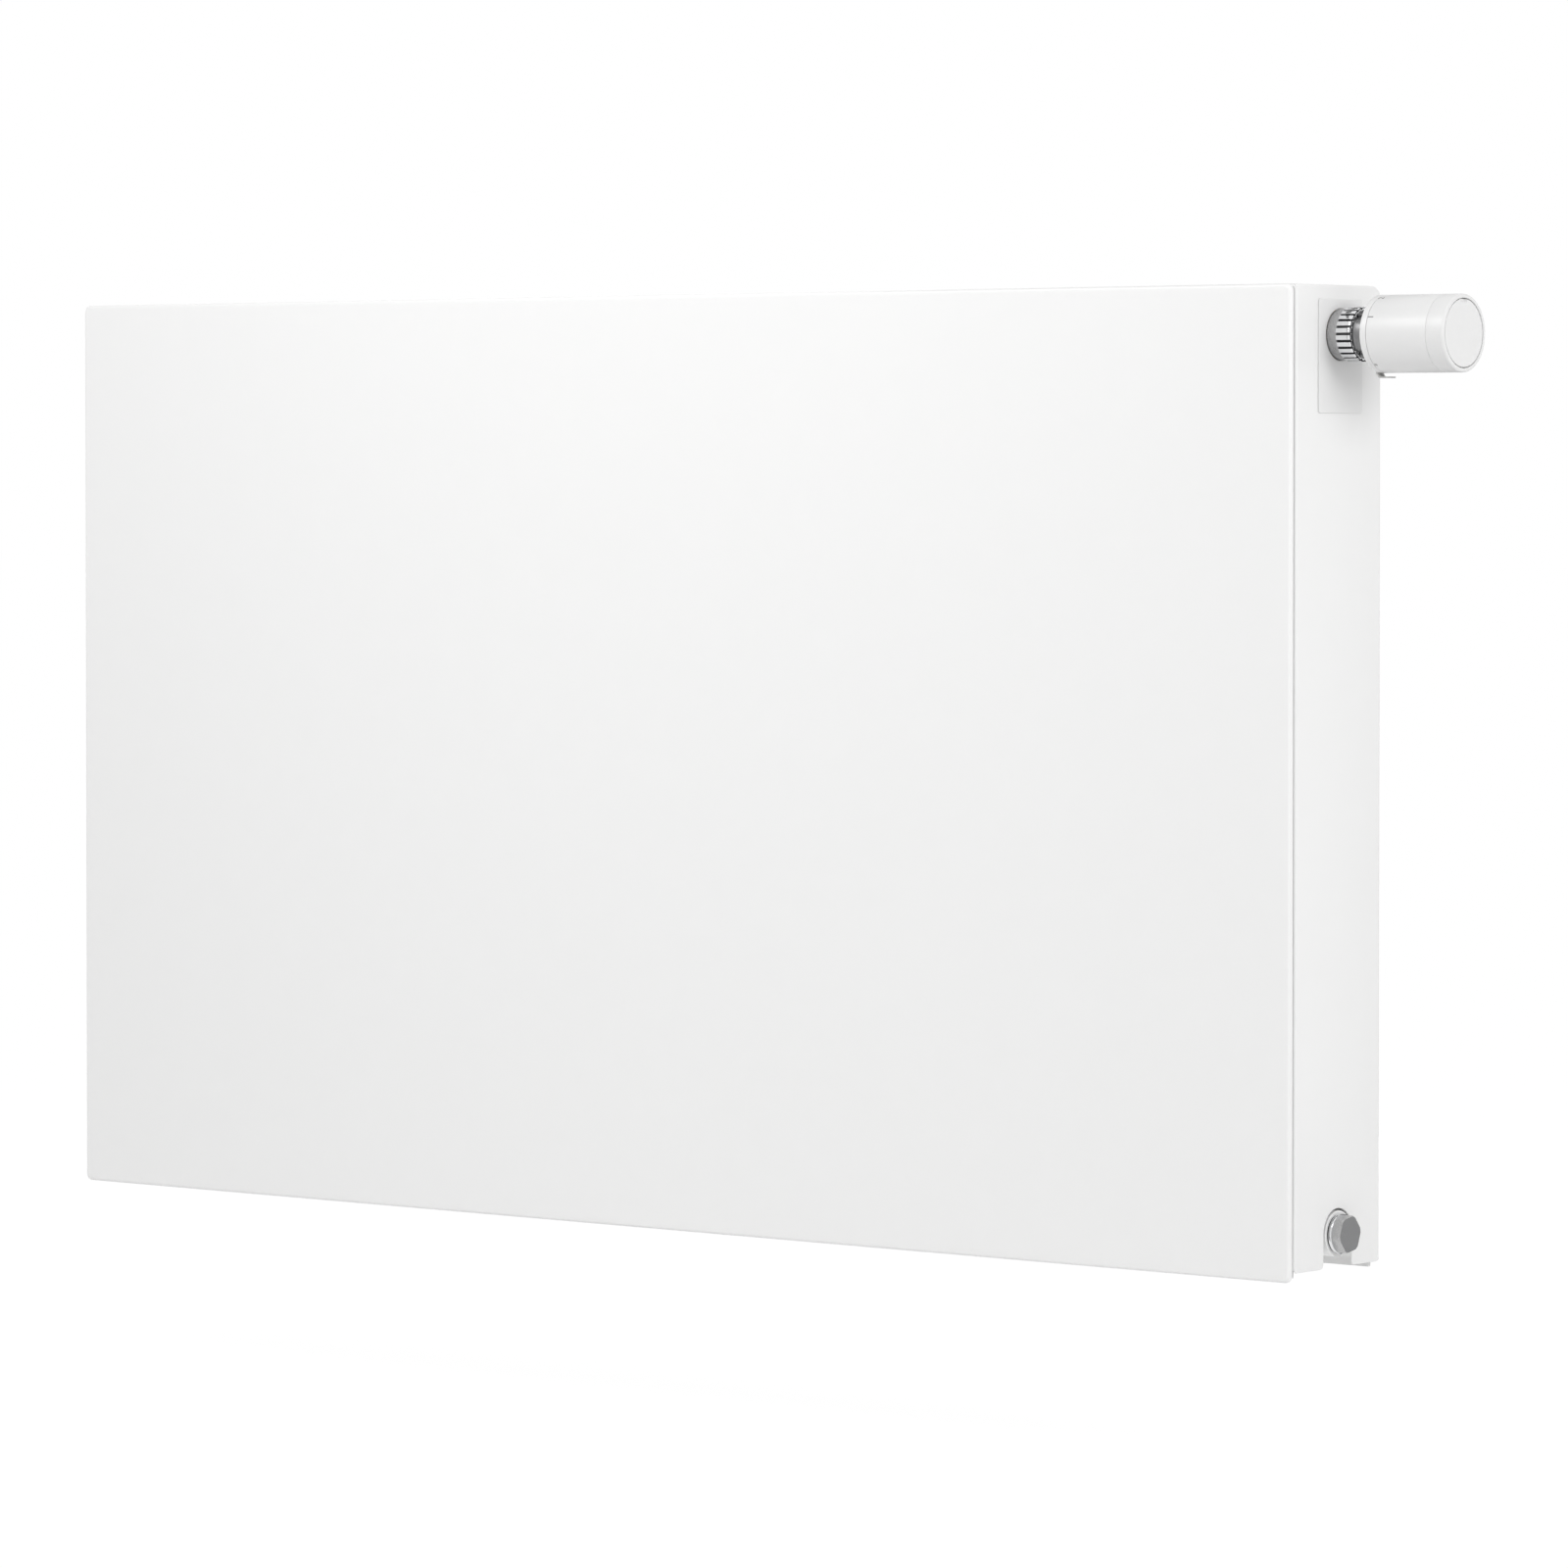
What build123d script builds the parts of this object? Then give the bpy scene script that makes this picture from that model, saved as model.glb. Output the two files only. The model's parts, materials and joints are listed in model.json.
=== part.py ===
from build123d import *
import math
import os

# A flat-front steel panel radiator: two water panels, two convectors, clip-on covers and a built-in
# valve with a thermostatic head. Pieces are drawn from the lower edge of the front plate: x runs along
# the radiator from its middle, y from the plate's face towards the wall, z upwards, in millimetres.
# save() moves them to the part's own origin, the middle of the four hanging lugs on their wall side.

# Overall
PLATE_LENGTH = 1000.0
PLATE_HEIGHT = 600.0
PANEL_SPACING = 83.0  # between the middle planes of the two water panels
BOTTOM_HUB_RISE = 26.0  # lower pipe axis above the plate's lower edge
TOP_HUB_DROP = 30.0  # upper pipe axis below the plate's upper edge

# Front plate and the strips that carry it
PLATE_SHEET = 1.0
PLATE_RIM = 3.2
PLATE_CORNER = 4.5
PLATE_BEND = 2.0
BOND_GAP = 4.0
BOND_STRIP_WIDTH = 12.0
BOND_STRIP_MARGIN = 50.0
BOND_STRIPS_EACH_SIDE = 2  # besides the one in the middle
BOND_END_CHANNELS = 2  # channels outside the last strip

# Water panels
PANEL_DEPTH = 11.0
PANEL_SHEET = 1.25
CAVITY_EDGE = 0.3  # half depth of the hollow at its welded edge
PANEL_END_INSET = 5.0
SIDE_SEAM = 8.0
EDGE_SEAM = 6.0
CHANNEL_PITCH = 33.3
CHANNEL_BASE = 26.0
CHANNEL_CREST = 16.0
HEADER_BASE = 36.0
HEADER_CREST = 28.0

# Convectors
FIN_SHEET = 0.5
FIN_GAP = 4.0  # from the fins to the middle between the panels
FIN_CREST = 14.0
FIN_HUB_CLEARANCE = 24.0
FIN_PIPE_CLEARANCE = 8.0

# Side covers and their clips
COVER_SHEET = 1.0
COVER_GAP = 2.3
COVER_SETBACK = 1.7
COVER_FLANGE = 5.0
COVER_BEND = 2.0
COVER_LIFT = 5.5
COVER_TOP_CORNER = 10.0
COVER_FOOT_CORNER = 3.0
NOTCH_CLEARANCE = 1.4
CLIP_LENGTH = 20.0
CLIP_HALF_DEPTH = 2.6
CLIP_GRIP = 8.5
CLIP_CLEARANCE = 0.1
CLIP_RISE = 90.0

# Escutcheon plates
ESCUTCHEON_WIDTH = 46.6
ESCUTCHEON_HEIGHT = 69.0
ESCUTCHEON_RISE = 21.5  # upper edge above the upper pipe axis
ESCUTCHEON_SHEET = 1.0
ESCUTCHEON_CORNER = 1.5
ESCUTCHEON_LAP = 4.0
ESCUTCHEON_HOLE_CLEARANCE = 1.0
LEG_LENGTH = 3.0
LEG_WIDTH = 16.0
LEG_SHEET = 1.2
LEG_CLEARANCE = 0.2

# Top grille and its clips
GRILLE_SHEET = 0.8
GRILLE_END_CLEARANCE = 0.3
GRILLE_SKIRT = 12.0
GRILLE_FRONT_BEND = 2.0
SLOT_WIDTH = 5.5
SLOT_PITCH = 12.0
SLOT_ROW_GAP = 6.0
SLOT_EDGE_MARGIN = 10.9
SLOT_END_MARGIN = 14.0
GRILLE_CLIP_STEP = 300.0
GRILLE_CLIP_SEAT = 0.3

# Tees, bottom connections and riser
TEE_INSET = 33.0
TEE_BORE = 11.0
TEE_WALL = 3.0
BOSS_BORE = 10.4
BOSS_WALL = 3.6
THREAD_CLEARANCE = 0.1
CONNECTION_PITCH = 50.0
NIPPLE_RADIUS = 13.22
NIPPLE_LENGTH = 7.5
NIPPLE_BORE = 8.0
SPIGOT_WALL = 2.4
SPIGOT_GRIP = 4.0
DROP_BOSS_PROUD = 0.5  # below the round of the tee
BRACKET_SHEET = 1.5
BRACKET_WIDTH = 34.0
BRACKET_MARGIN = 17.0
RISER_RADIUS = 9.0
RISER_WALL = 1.2
RISER_BEND = 28.0
RISER_GRIP = 10.0
SUPPLY_SPIGOT_LENGTH = 22.0
RISER_STEP = 2.0
INLET_BOSS_WALL = 3.5
INLET_BOSS_LENGTH = 23.0

# Plugs
GASKET_THICKNESS = 1.0
GASKET_LAP = 1.2
PLUG_THREAD_LENGTH = 12.0
PLUG_FLANGE_LIP = 0.6
PLUG_FLANGE_THICKNESS = 2.0
PLUG_HEX = 20.6
PLUG_HEX_LENGTH = 6.0
PLUG_HEX_TURN = 10.0
PLUG_FACE_LIP = 0.1
PLUG_CHAMFER = 1.0

# Valve insert
VALVE_SETBACK = 11.0  # valve boss behind the side cover's face
INSERT_HEX = 25.0
INSERT_HEX_LENGTH = 5.0
MALE_THREAD_RADIUS = 14.85
MALE_THREAD_LENGTH = 14.0
INSERT_THREAD_LENGTH = 12.0
NOSE_RADIUS = 7.3
NOSE_GRIP = 0.5
SEAT_BORE = 4.5
SEAT_SETBACK = 3.0  # seat face on the inlet side of the tee's middle
CHAMBER_RADIUS = 6.0
CHAMBER_LENGTH = 8.0
LEDGE_THICKNESS = 4.0
LEDGE_BORE = 2.6
WINDOW_WIDTH = 6.0
WINDOW_LENGTH = 6.0
WINDOW_RISE = 1.0
GLAND_RADIUS = 7.4
GLAND_LENGTH = 9.0
SPINDLE_RADIUS = 2.0
SPINDLE_CLEARANCE = 0.05
SPINDLE_PROUD = 5.0
SPINDLE_COLLAR_RADIUS = 5.0
SPINDLE_COLLAR_THICKNESS = 2.0
DISC_RADIUS = 5.6
DISC_THICKNESS = 3.0
DISC_PLATE_THICKNESS = 1.5
VALVE_LIFT_AT_REST = 1.85
VALVE_SPRING_LENGTH = 16.0
VALVE_SPRING_RADIUS = 4.2
VALVE_SPRING_WIRE = 0.5
VALVE_SPRING_TURNS = 6
DIAL_RADIUS = 9.0
DIAL_THICKNESS = 2.6
DIAL_GAP = 0.2

# Thermostatic head
NUT_START = 1.2  # in front of the side cover's face
NUT_WALL = 1.15
NUT_COLLAR_LENGTH = 6.8
NUT_RIDGE_RISE = 0.7
NUT_RIDGES = 24
NUT_GROOVE_WIDTH = 1.3
NUT_GROOVE_DEPTH = 0.6
NUT_CHAMFER = 1.0
NUT_SHOULDER = 5.4
BASE_FLANGE_CLEARANCE = 0.55
BASE_FLANGE_LENGTH = 4.5
DIAL_POCKET_CLEARANCE = 0.5
NECK_STEP = 2.1
NECK_CLEARANCE = 0.3
NECK_LENGTH = 11.0
ROD_BORE = 6.0
CLAW_WALL = 2.7
CLAW_GAP = 0.5
CLAW_COUNT = 4
CLAW_SLOT_WIDTH = 5.4
CLAW_RING_LENGTH = 2.4
HEAD_RADIUS = 23.5
HEAD_WALL = 1.8
INDEX_RING_LENGTH = 4.4
BASE_DISC_THICKNESS = 3.0
BASE_DISC_GAP = 0.2
INDEX_LIP = 2.2
BASE_WEB_LENGTH = 3.1
JOURNAL_LENGTH = 4.0
RUNNING_CLEARANCE = 0.1
GUIDE_RADIUS = 14.6
GUIDE_WALL = 1.9
GUIDE_LENGTH = 26.0
SLEEVE_GAP = 0.3
SLEEVE_LENGTH = 42.4
END_RING_LENGTH = 12.5
END_RING_WALL = 5.5
END_WALL_START = 7.0
END_WALL_THICKNESS = 2.0
END_WALL_BORE = 8.0
END_RIM_WIDTH = 2.5
END_RIM_ROUND = 1.2
CAP_CLEARANCE = 0.6
CAP_THICKNESS = 3.2
CAP_NOTCH_WIDTH = 6.0
CAP_NOTCH_DEPTH = 1.5
CAP_NOTCH_REACH = 1.6
DRIVE_RING_LENGTH = 19.0
CARRIAGE_WALL = 1.8
CARRIAGE_LENGTH = 23.0
CARRIAGE_END = 3.0
CARRIAGE_SETBACK = 3.0  # carriage end behind the sleeve's end
CAPSULE_CLEARANCE = 1.4
CAPSULE_LENGTH = 23.0
OVERTRAVEL_LENGTH = 8.0
OVERTRAVEL_RADIUS = 8.0
OVERTRAVEL_WIRE = 0.8
OVERTRAVEL_TURNS = 2
ARCS_PER_TURN = 4  # pairs of arcs that draw one turn of a spring
ROD_RADIUS = 3.0
ROD_GAP = 0.05
LIMIT_CLIP_WIDTH = 7.0
LIMIT_CLIP_SHEET = 1.4
LIMIT_FINGER_SHEET = 0.9
LIMIT_FINGER_CLEARANCE = 2.1
LIMIT_FOOT_LAP = 3.5
LIMIT_FINGER_LENGTH = 10.0

# Air vent
VENT_HEX_LENGTH = 4.0
VENT_NECK_RADIUS = 7.0
VENT_NECK_LENGTH = 8.0
VENT_SCREW_RADIUS = 4.0
VENT_SCREW_LENGTH = 16.0
VENT_SCREW_INSET = 1.0
VENT_KEY = 5.0
VENT_KEY_LENGTH = 5.0
VENT_POCKET = 18.0
VENT_BLEED_BORE = 1.5
NOZZLE_RADIUS = 10.5
NOZZLE_LENGTH = 7.2
NOZZLE_GAP = 0.2
SPOUT_RADIUS = 2.2
SPOUT_BORE = 1.0
SPOUT_REACH = 15.0

# Hanging lugs
LUG_SHEET = 2.5
LUG_GAP = 10.0
LUG_HALF_POCKET = 13.0
LUG_HALF_FOOT = 22.6
LUG_HEIGHT = 34.0
LUG_EDGE_DISTANCE = 75.0
LUG_END_DISTANCE = 117.0

# Places worked out from the sizes above
HALF = PLATE_LENGTH / 2
FRONT_MID_Y = PLATE_SHEET + BOND_GAP + PANEL_DEPTH / 2
REAR_MID_Y = FRONT_MID_Y + PANEL_SPACING
AXIS_Y = (FRONT_MID_Y + REAR_MID_Y) / 2
FRONT_INNER_Y = FRONT_MID_Y + PANEL_DEPTH / 2
REAR_INNER_Y = REAR_MID_Y - PANEL_DEPTH / 2
REAR_CREST_Y = REAR_MID_Y + PANEL_DEPTH / 2
COVER_FRONT_Y = PLATE_RIM + COVER_GAP
COVER_REAR_Y = REAR_CREST_Y - COVER_SETBACK
COVER_MID_Y = (COVER_FRONT_Y + COVER_REAR_Y) / 2
COVER_DEPTH = COVER_REAR_Y - COVER_FRONT_Y
WALL_Y = REAR_CREST_Y + LUG_GAP + LUG_SHEET
BOTTOM_Z = BOTTOM_HUB_RISE
TOP_Z = PLATE_HEIGHT - TOP_HUB_DROP
PANEL_HALF = HALF - PANEL_END_INSET
PANEL_BOTTOM_Z = BOTTOM_Z - HEADER_BASE / 2 - EDGE_SEAM
PANEL_TOP_Z = TOP_Z + HEADER_BASE / 2 + EDGE_SEAM
HEADER_HALF = PANEL_HALF - SIDE_SEAM
HEADER_CREST_HALF = HEADER_HALF - (HEADER_BASE - HEADER_CREST) / 2
CHANNEL_SIDE = math.floor((HEADER_CREST_HALF - CHANNEL_CREST / 2) / CHANNEL_PITCH)
BOND_STRIP_PITCH = (CHANNEL_SIDE - BOND_END_CHANNELS) // BOND_STRIPS_EACH_SIDE * CHANNEL_PITCH
FIN_DEPTH = (REAR_INNER_Y - FRONT_INNER_Y) / 2 - FIN_GAP
TEE_X = HALF - TEE_INSET
SUPPLY_X = TEE_X - CONNECTION_PITCH
TEE_RADIUS = TEE_BORE + TEE_WALL
BOSS_RADIUS = BOSS_BORE + BOSS_WALL
THREAD_RADIUS = BOSS_BORE - THREAD_CLEARANCE
GASKET_RADIUS = BOSS_BORE + GASKET_LAP
PLUG_FLANGE_RADIUS = GASKET_RADIUS + PLUG_FLANGE_LIP
SPIGOT_RADIUS = RISER_RADIUS + SPIGOT_WALL
INLET_BOSS_RADIUS = RISER_RADIUS + INLET_BOSS_WALL
DROP_BOSS_Z = BOTTOM_Z - max(BOSS_RADIUS, TEE_RADIUS) - DROP_BOSS_PROUD
NIPPLE_SHOULDER_Z = DROP_BOSS_Z - BRACKET_SHEET
NIPPLE_END_Z = NIPPLE_SHOULDER_Z - NIPPLE_LENGTH
RISER_START_Z = NIPPLE_SHOULDER_Z + RISER_STEP
INLET_END_X = TEE_X - INLET_BOSS_LENGTH
RISER_END_X = INLET_END_X + RISER_GRIP
VALVE_BOSS_X = HALF - VALVE_SETBACK
INSERT_HEX_X = VALVE_BOSS_X + GASKET_THICKNESS
MALE_THREAD_X = INSERT_HEX_X + INSERT_HEX_LENGTH
VALVE_END_X = MALE_THREAD_X + MALE_THREAD_LENGTH
SEAT_X = TEE_X - SEAT_SETBACK
LEDGE_X = SEAT_X + CHAMBER_LENGTH
SPRING_X = LEDGE_X + LEDGE_THICKNESS
SPINDLE_COLLAR_X = SPRING_X + VALVE_SPRING_LENGTH
GLAND_X = VALVE_END_X - GLAND_LENGTH
SPINDLE_TIP_X = VALVE_END_X + SPINDLE_PROUD
DISC_X = SEAT_X + VALVE_LIFT_AT_REST
NUT_COLLAR_RADIUS = MALE_THREAD_RADIUS + NUT_WALL
NUT_RIDGE_RADIUS = NUT_COLLAR_RADIUS + NUT_RIDGE_RISE
BASE_FLANGE_RADIUS = MALE_THREAD_RADIUS - BASE_FLANGE_CLEARANCE
NECK_RADIUS = BASE_FLANGE_RADIUS - NECK_STEP
CLAW_RADIUS = NECK_RADIUS + RUNNING_CLEARANCE + CLAW_WALL
NUT_X = HALF + NUT_START
NUT_RIDGE_X = NUT_X + NUT_COLLAR_LENGTH
BASE_FLANGE_END_X = VALVE_END_X + BASE_FLANGE_LENGTH
NUT_END_X = BASE_FLANGE_END_X + NUT_SHOULDER
HEAD_X = NUT_END_X + NECK_LENGTH
SLEEVE_X = HEAD_X + INDEX_RING_LENGTH + SLEEVE_GAP
SLEEVE_END_X = SLEEVE_X + SLEEVE_LENGTH
HEAD_END_X = SLEEVE_END_X + END_RING_LENGTH
SLEEVE_BORE = HEAD_RADIUS - HEAD_WALL
INDEX_LIP_RADIUS = SLEEVE_BORE - INDEX_LIP
BASE_WEB_RADIUS = INDEX_LIP_RADIUS - BASE_DISC_GAP
GUIDE_BORE = GUIDE_RADIUS - GUIDE_WALL
CARRIAGE_BORE = GUIDE_RADIUS + RUNNING_CLEARANCE
CARRIAGE_RADIUS = CARRIAGE_BORE + CARRIAGE_WALL
CAPSULE_RADIUS = GUIDE_BORE - CAPSULE_CLEARANCE
END_RING_BORE = HEAD_RADIUS - END_RING_WALL
END_RIM_RADIUS = HEAD_RADIUS - END_RIM_WIDTH
CAP_RADIUS = END_RIM_RADIUS - CAP_CLEARANCE
BASE_DISC_END_X = HEAD_X + BASE_DISC_THICKNESS
JOURNAL_X = BASE_DISC_END_X + BASE_WEB_LENGTH
GUIDE_X = JOURNAL_X + JOURNAL_LENGTH
END_WALL_X = SLEEVE_END_X + END_WALL_START
CAP_X = END_WALL_X + END_WALL_THICKNESS
CARRIAGE_END_X = SLEEVE_END_X - CARRIAGE_SETBACK
CARRIAGE_FLOOR_X = CARRIAGE_END_X - CARRIAGE_END
CAPSULE_END_X = CARRIAGE_FLOOR_X - OVERTRAVEL_LENGTH
CAPSULE_X = CAPSULE_END_X - CAPSULE_LENGTH
PLUG_SEAT_X = HALF + GASKET_THICKNESS
PLUG_HEX_X = PLUG_SEAT_X + PLUG_FLANGE_THICKNESS
VENT_NECK_X = PLUG_HEX_X + VENT_HEX_LENGTH
VENT_NECK_END_X = VENT_NECK_X + VENT_NECK_LENGTH
ESCUTCHEON_MID_Z = TOP_Z + ESCUTCHEON_RISE - ESCUTCHEON_HEIGHT / 2
GRILLE_HALF = HALF - COVER_SHEET - GRILLE_END_CLEARANCE
GRILLE_SKIRT_Z = PLATE_HEIGHT - GRILLE_SKIRT
SLOT_LENGTH = (COVER_DEPTH - SLOT_ROW_GAP) / 2 - SLOT_EDGE_MARGIN
LUG_TOP_Z = PLATE_HEIGHT - LUG_EDGE_DISTANCE
LUG_BOTTOM_Z = LUG_EDGE_DISTANCE
LUG_X = (math.floor((HALF - LUG_END_DISTANCE) / CHANNEL_PITCH) + 0.5) * CHANNEL_PITCH
ROW_ORIGIN = Pos(0, -WALL_Y, -(LUG_TOP_Z + LUG_BOTTOM_Z) / 2)


def block(x0, x1, y0, y1, z0, z1):
    """A box given by its lowest and highest corners."""
    middle = Pos((x0 + x1) / 2, (y0 + y1) / 2, (z0 + z1) / 2)
    return middle * Box(x1 - x0, y1 - y0, z1 - z0)


def rod_x(radius, x0, x1, z):
    """A cylinder along a pipe axis, at height z between the two panels."""
    return Pos((x0 + x1) / 2, AXIS_Y, z) * Rot(0, 90, 0) * Cylinder(radius, x1 - x0)


def rod_y(radius, y0, y1, x, z):
    """A cylinder that runs from the front towards the wall."""
    return Pos(x, (y0 + y1) / 2, z) * Rot(90, 0, 0) * Cylinder(radius, y1 - y0)


def rod_z(radius, z0, z1, x):
    """An upright cylinder between the two panels."""
    return Pos(x, AXIS_Y, (z0 + z1) / 2) * Cylinder(radius, z1 - z0)


def turned(outline, z):
    """A lathe-turned piece on the pipe axis at height z, from (x, radius) points."""
    section = make_face(Polyline(*outline, close=True))
    return Pos(0, AXIS_Y, z) * revolve(section, Axis.X)


def hexagon_x(across_flats, x0, x1, z, turn=0.0):
    """A hexagonal prism along a pipe axis."""
    base = Plane(origin=(x0, AXIS_Y, z), x_dir=(0, 1, 0), z_dir=(1, 0, 0))
    outline = base * Rot(0, 0, turn) * RegularPolygon(across_flats / 2, 6, major_radius=False)
    return extrude(outline, x1 - x0)


def side_plane(x):
    """A drawing plane seen from the right: its first axis runs to the wall, its second one up."""
    return Plane(origin=(x, 0, 0), x_dir=(0, 1, 0), z_dir=(1, 0, 0))


def to_left(shape):
    """The same piece on the other end of the radiator."""
    return mirror(shape, about=Plane.YZ)


def front_cover_plate():
    """A flat sheet with a short rim bent back all round."""
    front = Plane(origin=(0, 0, PLATE_HEIGHT / 2), x_dir=(1, 0, 0), z_dir=(0, -1, 0))
    outline = front * RectangleRounded(PLATE_LENGTH, PLATE_HEIGHT, PLATE_CORNER)
    outer = extrude(outline, PLATE_RIM, dir=(0, 1, 0))
    outer = fillet(outer.faces().sort_by(Axis.Y)[0].edges(), PLATE_BEND)
    inner_length = PLATE_LENGTH - 2 * PLATE_SHEET
    inner_height = PLATE_HEIGHT - 2 * PLATE_SHEET
    back = front.offset(-PLATE_SHEET)
    inner_outline = back * RectangleRounded(inner_length, inner_height, PLATE_CORNER - PLATE_SHEET)
    inner = extrude(inner_outline, PLATE_RIM, dir=(0, 1, 0))
    inner = fillet(inner.faces().sort_by(Axis.Y)[0].edges(), PLATE_BEND - PLATE_SHEET)
    return outer - inner


def bonding_strips():
    """Upright strips between the front plate and the crests of the front panel's channels."""
    strips = []
    half = BOND_STRIP_WIDTH / 2
    high = PLATE_HEIGHT - BOND_STRIP_MARGIN
    for number in range(-BOND_STRIPS_EACH_SIDE, BOND_STRIPS_EACH_SIDE + 1):
        x = number * BOND_STRIP_PITCH
        strips.append(block(x - half, x + half, PLATE_SHEET, PLATE_SHEET + BOND_GAP, BOND_STRIP_MARGIN, high))
    return Compound(children=strips)


def pressed_section(base, crest, seam_half, half_depth):
    """Half widths and half depths of one pressed channel, seen end on, as eight corners."""
    return [
        (crest / 2, half_depth),
        (base / 2, seam_half),
        (base / 2, -seam_half),
        (crest / 2, -half_depth),
        (-crest / 2, -half_depth),
        (-base / 2, -seam_half),
        (-base / 2, seam_half),
        (-crest / 2, half_depth),
    ]


def channel(section, x, mid_y):
    """One upright water channel from hub to hub."""
    base = Plane(origin=(x, mid_y, BOTTOM_Z), x_dir=(1, 0, 0), z_dir=(0, 0, 1))
    return extrude(base * make_face(Polyline(*section, close=True)), TOP_Z - BOTTOM_Z)


def header(section, half_length, crest_half, half_depth, z, mid_y):
    """One level header: its pressed section along the panel, with sloped ends."""
    side = Plane(origin=(-half_length, mid_y, z), x_dir=(0, 0, 1), z_dir=(1, 0, 0))
    bar = extrude(side * make_face(Polyline(*section, close=True)), 2 * half_length)
    seam_half = section[1][1]
    plan = pressed_section(2 * half_length, 2 * crest_half, seam_half, half_depth)
    level = Plane(origin=(0, mid_y, z - HEADER_BASE), x_dir=(1, 0, 0), z_dir=(0, 0, 1))
    return bar & extrude(level * make_face(Polyline(*plan, close=True)), 2 * HEADER_BASE)


def pressed_shape(wall, seam_half, mid_y):
    """All channels and both headers of one panel, drawn in by a wall thickness."""
    half_depth = PANEL_DEPTH / 2 - wall
    upright = pressed_section(CHANNEL_BASE - wall, CHANNEL_CREST - wall, seam_half, half_depth)
    level = pressed_section(HEADER_BASE - wall, HEADER_CREST - wall, seam_half, half_depth)
    half = HEADER_HALF - wall
    crest = HEADER_CREST_HALF - wall
    shapes = [header(level, half, crest, half_depth, z, mid_y) for z in (BOTTOM_Z, TOP_Z)]
    for number in range(-CHANNEL_SIDE, CHANNEL_SIDE + 1):
        shapes.append(channel(upright, number * CHANNEL_PITCH, mid_y))
    return shapes


def water_panel(mid_y, inner_y):
    """Two pressed sheets welded at their flat seams, with a port to each of the four tees."""
    y0 = mid_y - PANEL_SHEET
    y1 = mid_y + PANEL_SHEET
    seam = block(-PANEL_HALF, PANEL_HALF, y0, y1, PANEL_BOTTOM_Z, PANEL_TOP_Z)
    shell = seam.fuse(*pressed_shape(0.0, PANEL_SHEET, mid_y))
    cavity = pressed_shape(PANEL_SHEET, CAVITY_EDGE, mid_y)
    ports = []
    for x in (-TEE_X, TEE_X):
        for z in (BOTTOM_Z, TOP_Z):
            ports.append(rod_y(TEE_BORE, min(mid_y, inner_y), max(mid_y, inner_y), x, z))
    return shell.cut(*cavity, *ports)


def convector(inner_y, towards):
    """One sheet folded into upright fins, welded to the crests of a panel's channels."""
    pipe_edge = SUPPLY_X - RISER_RADIUS - FIN_PIPE_CLEARANCE - FIN_CREST / 2
    tee_edge = TEE_X - TEE_RADIUS - FIN_PIPE_CLEARANCE - FIN_CREST / 2
    first = -math.floor(tee_edge / CHANNEL_PITCH)
    last = math.floor(pipe_edge / CHANNEL_PITCH)
    near_side = []
    far_side = []
    for number in range(first, last + 1):
        left = number * CHANNEL_PITCH - FIN_CREST / 2
        right = left + FIN_CREST
        near_side += [(left - FIN_SHEET, FIN_DEPTH - FIN_SHEET), (left - FIN_SHEET, 0)]
        near_side += [(right + FIN_SHEET, 0), (right + FIN_SHEET, FIN_DEPTH - FIN_SHEET)]
        far_side += [(left, FIN_DEPTH), (left, FIN_SHEET), (right, FIN_SHEET), (right, FIN_DEPTH)]
    near_side[0] = (near_side[0][0], FIN_DEPTH)
    near_side[-1] = (near_side[-1][0], FIN_DEPTH)
    outline = [(x, inner_y + towards * depth) for x, depth in near_side + far_side[::-1]]
    low = BOTTOM_Z + FIN_HUB_CLEARANCE
    high = TOP_Z - FIN_HUB_CLEARANCE
    return Pos(0, 0, low) * extrude(make_face(Polyline(*outline, close=True)), high - low)


def side_cover_outline(height):
    """The side cover seen from the right, with its arch and the opening behind the escutcheon plate."""
    outline = Pos(COVER_MID_Y, COVER_LIFT + height / 2) * Rectangle(COVER_DEPTH, height)
    upper = outline.vertices().group_by(Axis.Y)[-1].sort_by(Axis.X)[-1]
    outline = fillet(upper, COVER_TOP_CORNER)
    arch_radius = BOSS_RADIUS + NOTCH_CLEARANCE
    arch = Pos(AXIS_Y, BOTTOM_Z) * Circle(arch_radius)
    arch += Pos(AXIS_Y, BOTTOM_Z / 2) * Rectangle(2 * arch_radius, BOTTOM_Z)
    outline -= arch
    outline = fillet(outline.vertices().group_by(Axis.Y)[0], COVER_FOOT_CORNER)
    opening_width = ESCUTCHEON_WIDTH - 2 * ESCUTCHEON_LAP
    opening_height = ESCUTCHEON_HEIGHT - 2 * ESCUTCHEON_LAP
    return outline - Pos(AXIS_Y, ESCUTCHEON_MID_Z) * Rectangle(opening_width, opening_height)


def side_cover():
    """The right side cover: a sheet with both long edges bent in, an arch and an opening cut out."""
    outer = Pos(HALF - COVER_FLANGE / 2, COVER_MID_Y) * Rectangle(COVER_FLANGE, COVER_DEPTH)
    outer = fillet(outer.vertices().group_by(Axis.X)[-1], COVER_BEND)
    inner_x = HALF - COVER_SHEET
    inner_depth = COVER_DEPTH - 2 * COVER_SHEET
    inner = Pos(inner_x - COVER_FLANGE / 2, COVER_MID_Y) * Rectangle(COVER_FLANGE, inner_depth)
    inner = fillet(inner.vertices().group_by(Axis.X)[-1], COVER_BEND - COVER_SHEET)
    height = PLATE_HEIGHT - COVER_LIFT
    folded = Pos(0, 0, COVER_LIFT) * extrude(outer - inner, height)
    cover = folded & extrude(side_plane(HALF - COVER_FLANGE) * side_cover_outline(height), COVER_FLANGE)
    skirt_z = GRILLE_SKIRT_Z - GRILLE_END_CLEARANCE
    return cover - block(HALF - COVER_FLANGE, inner_x, COVER_FRONT_Y, COVER_REAR_Y, skirt_z, PLATE_HEIGHT)


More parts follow.
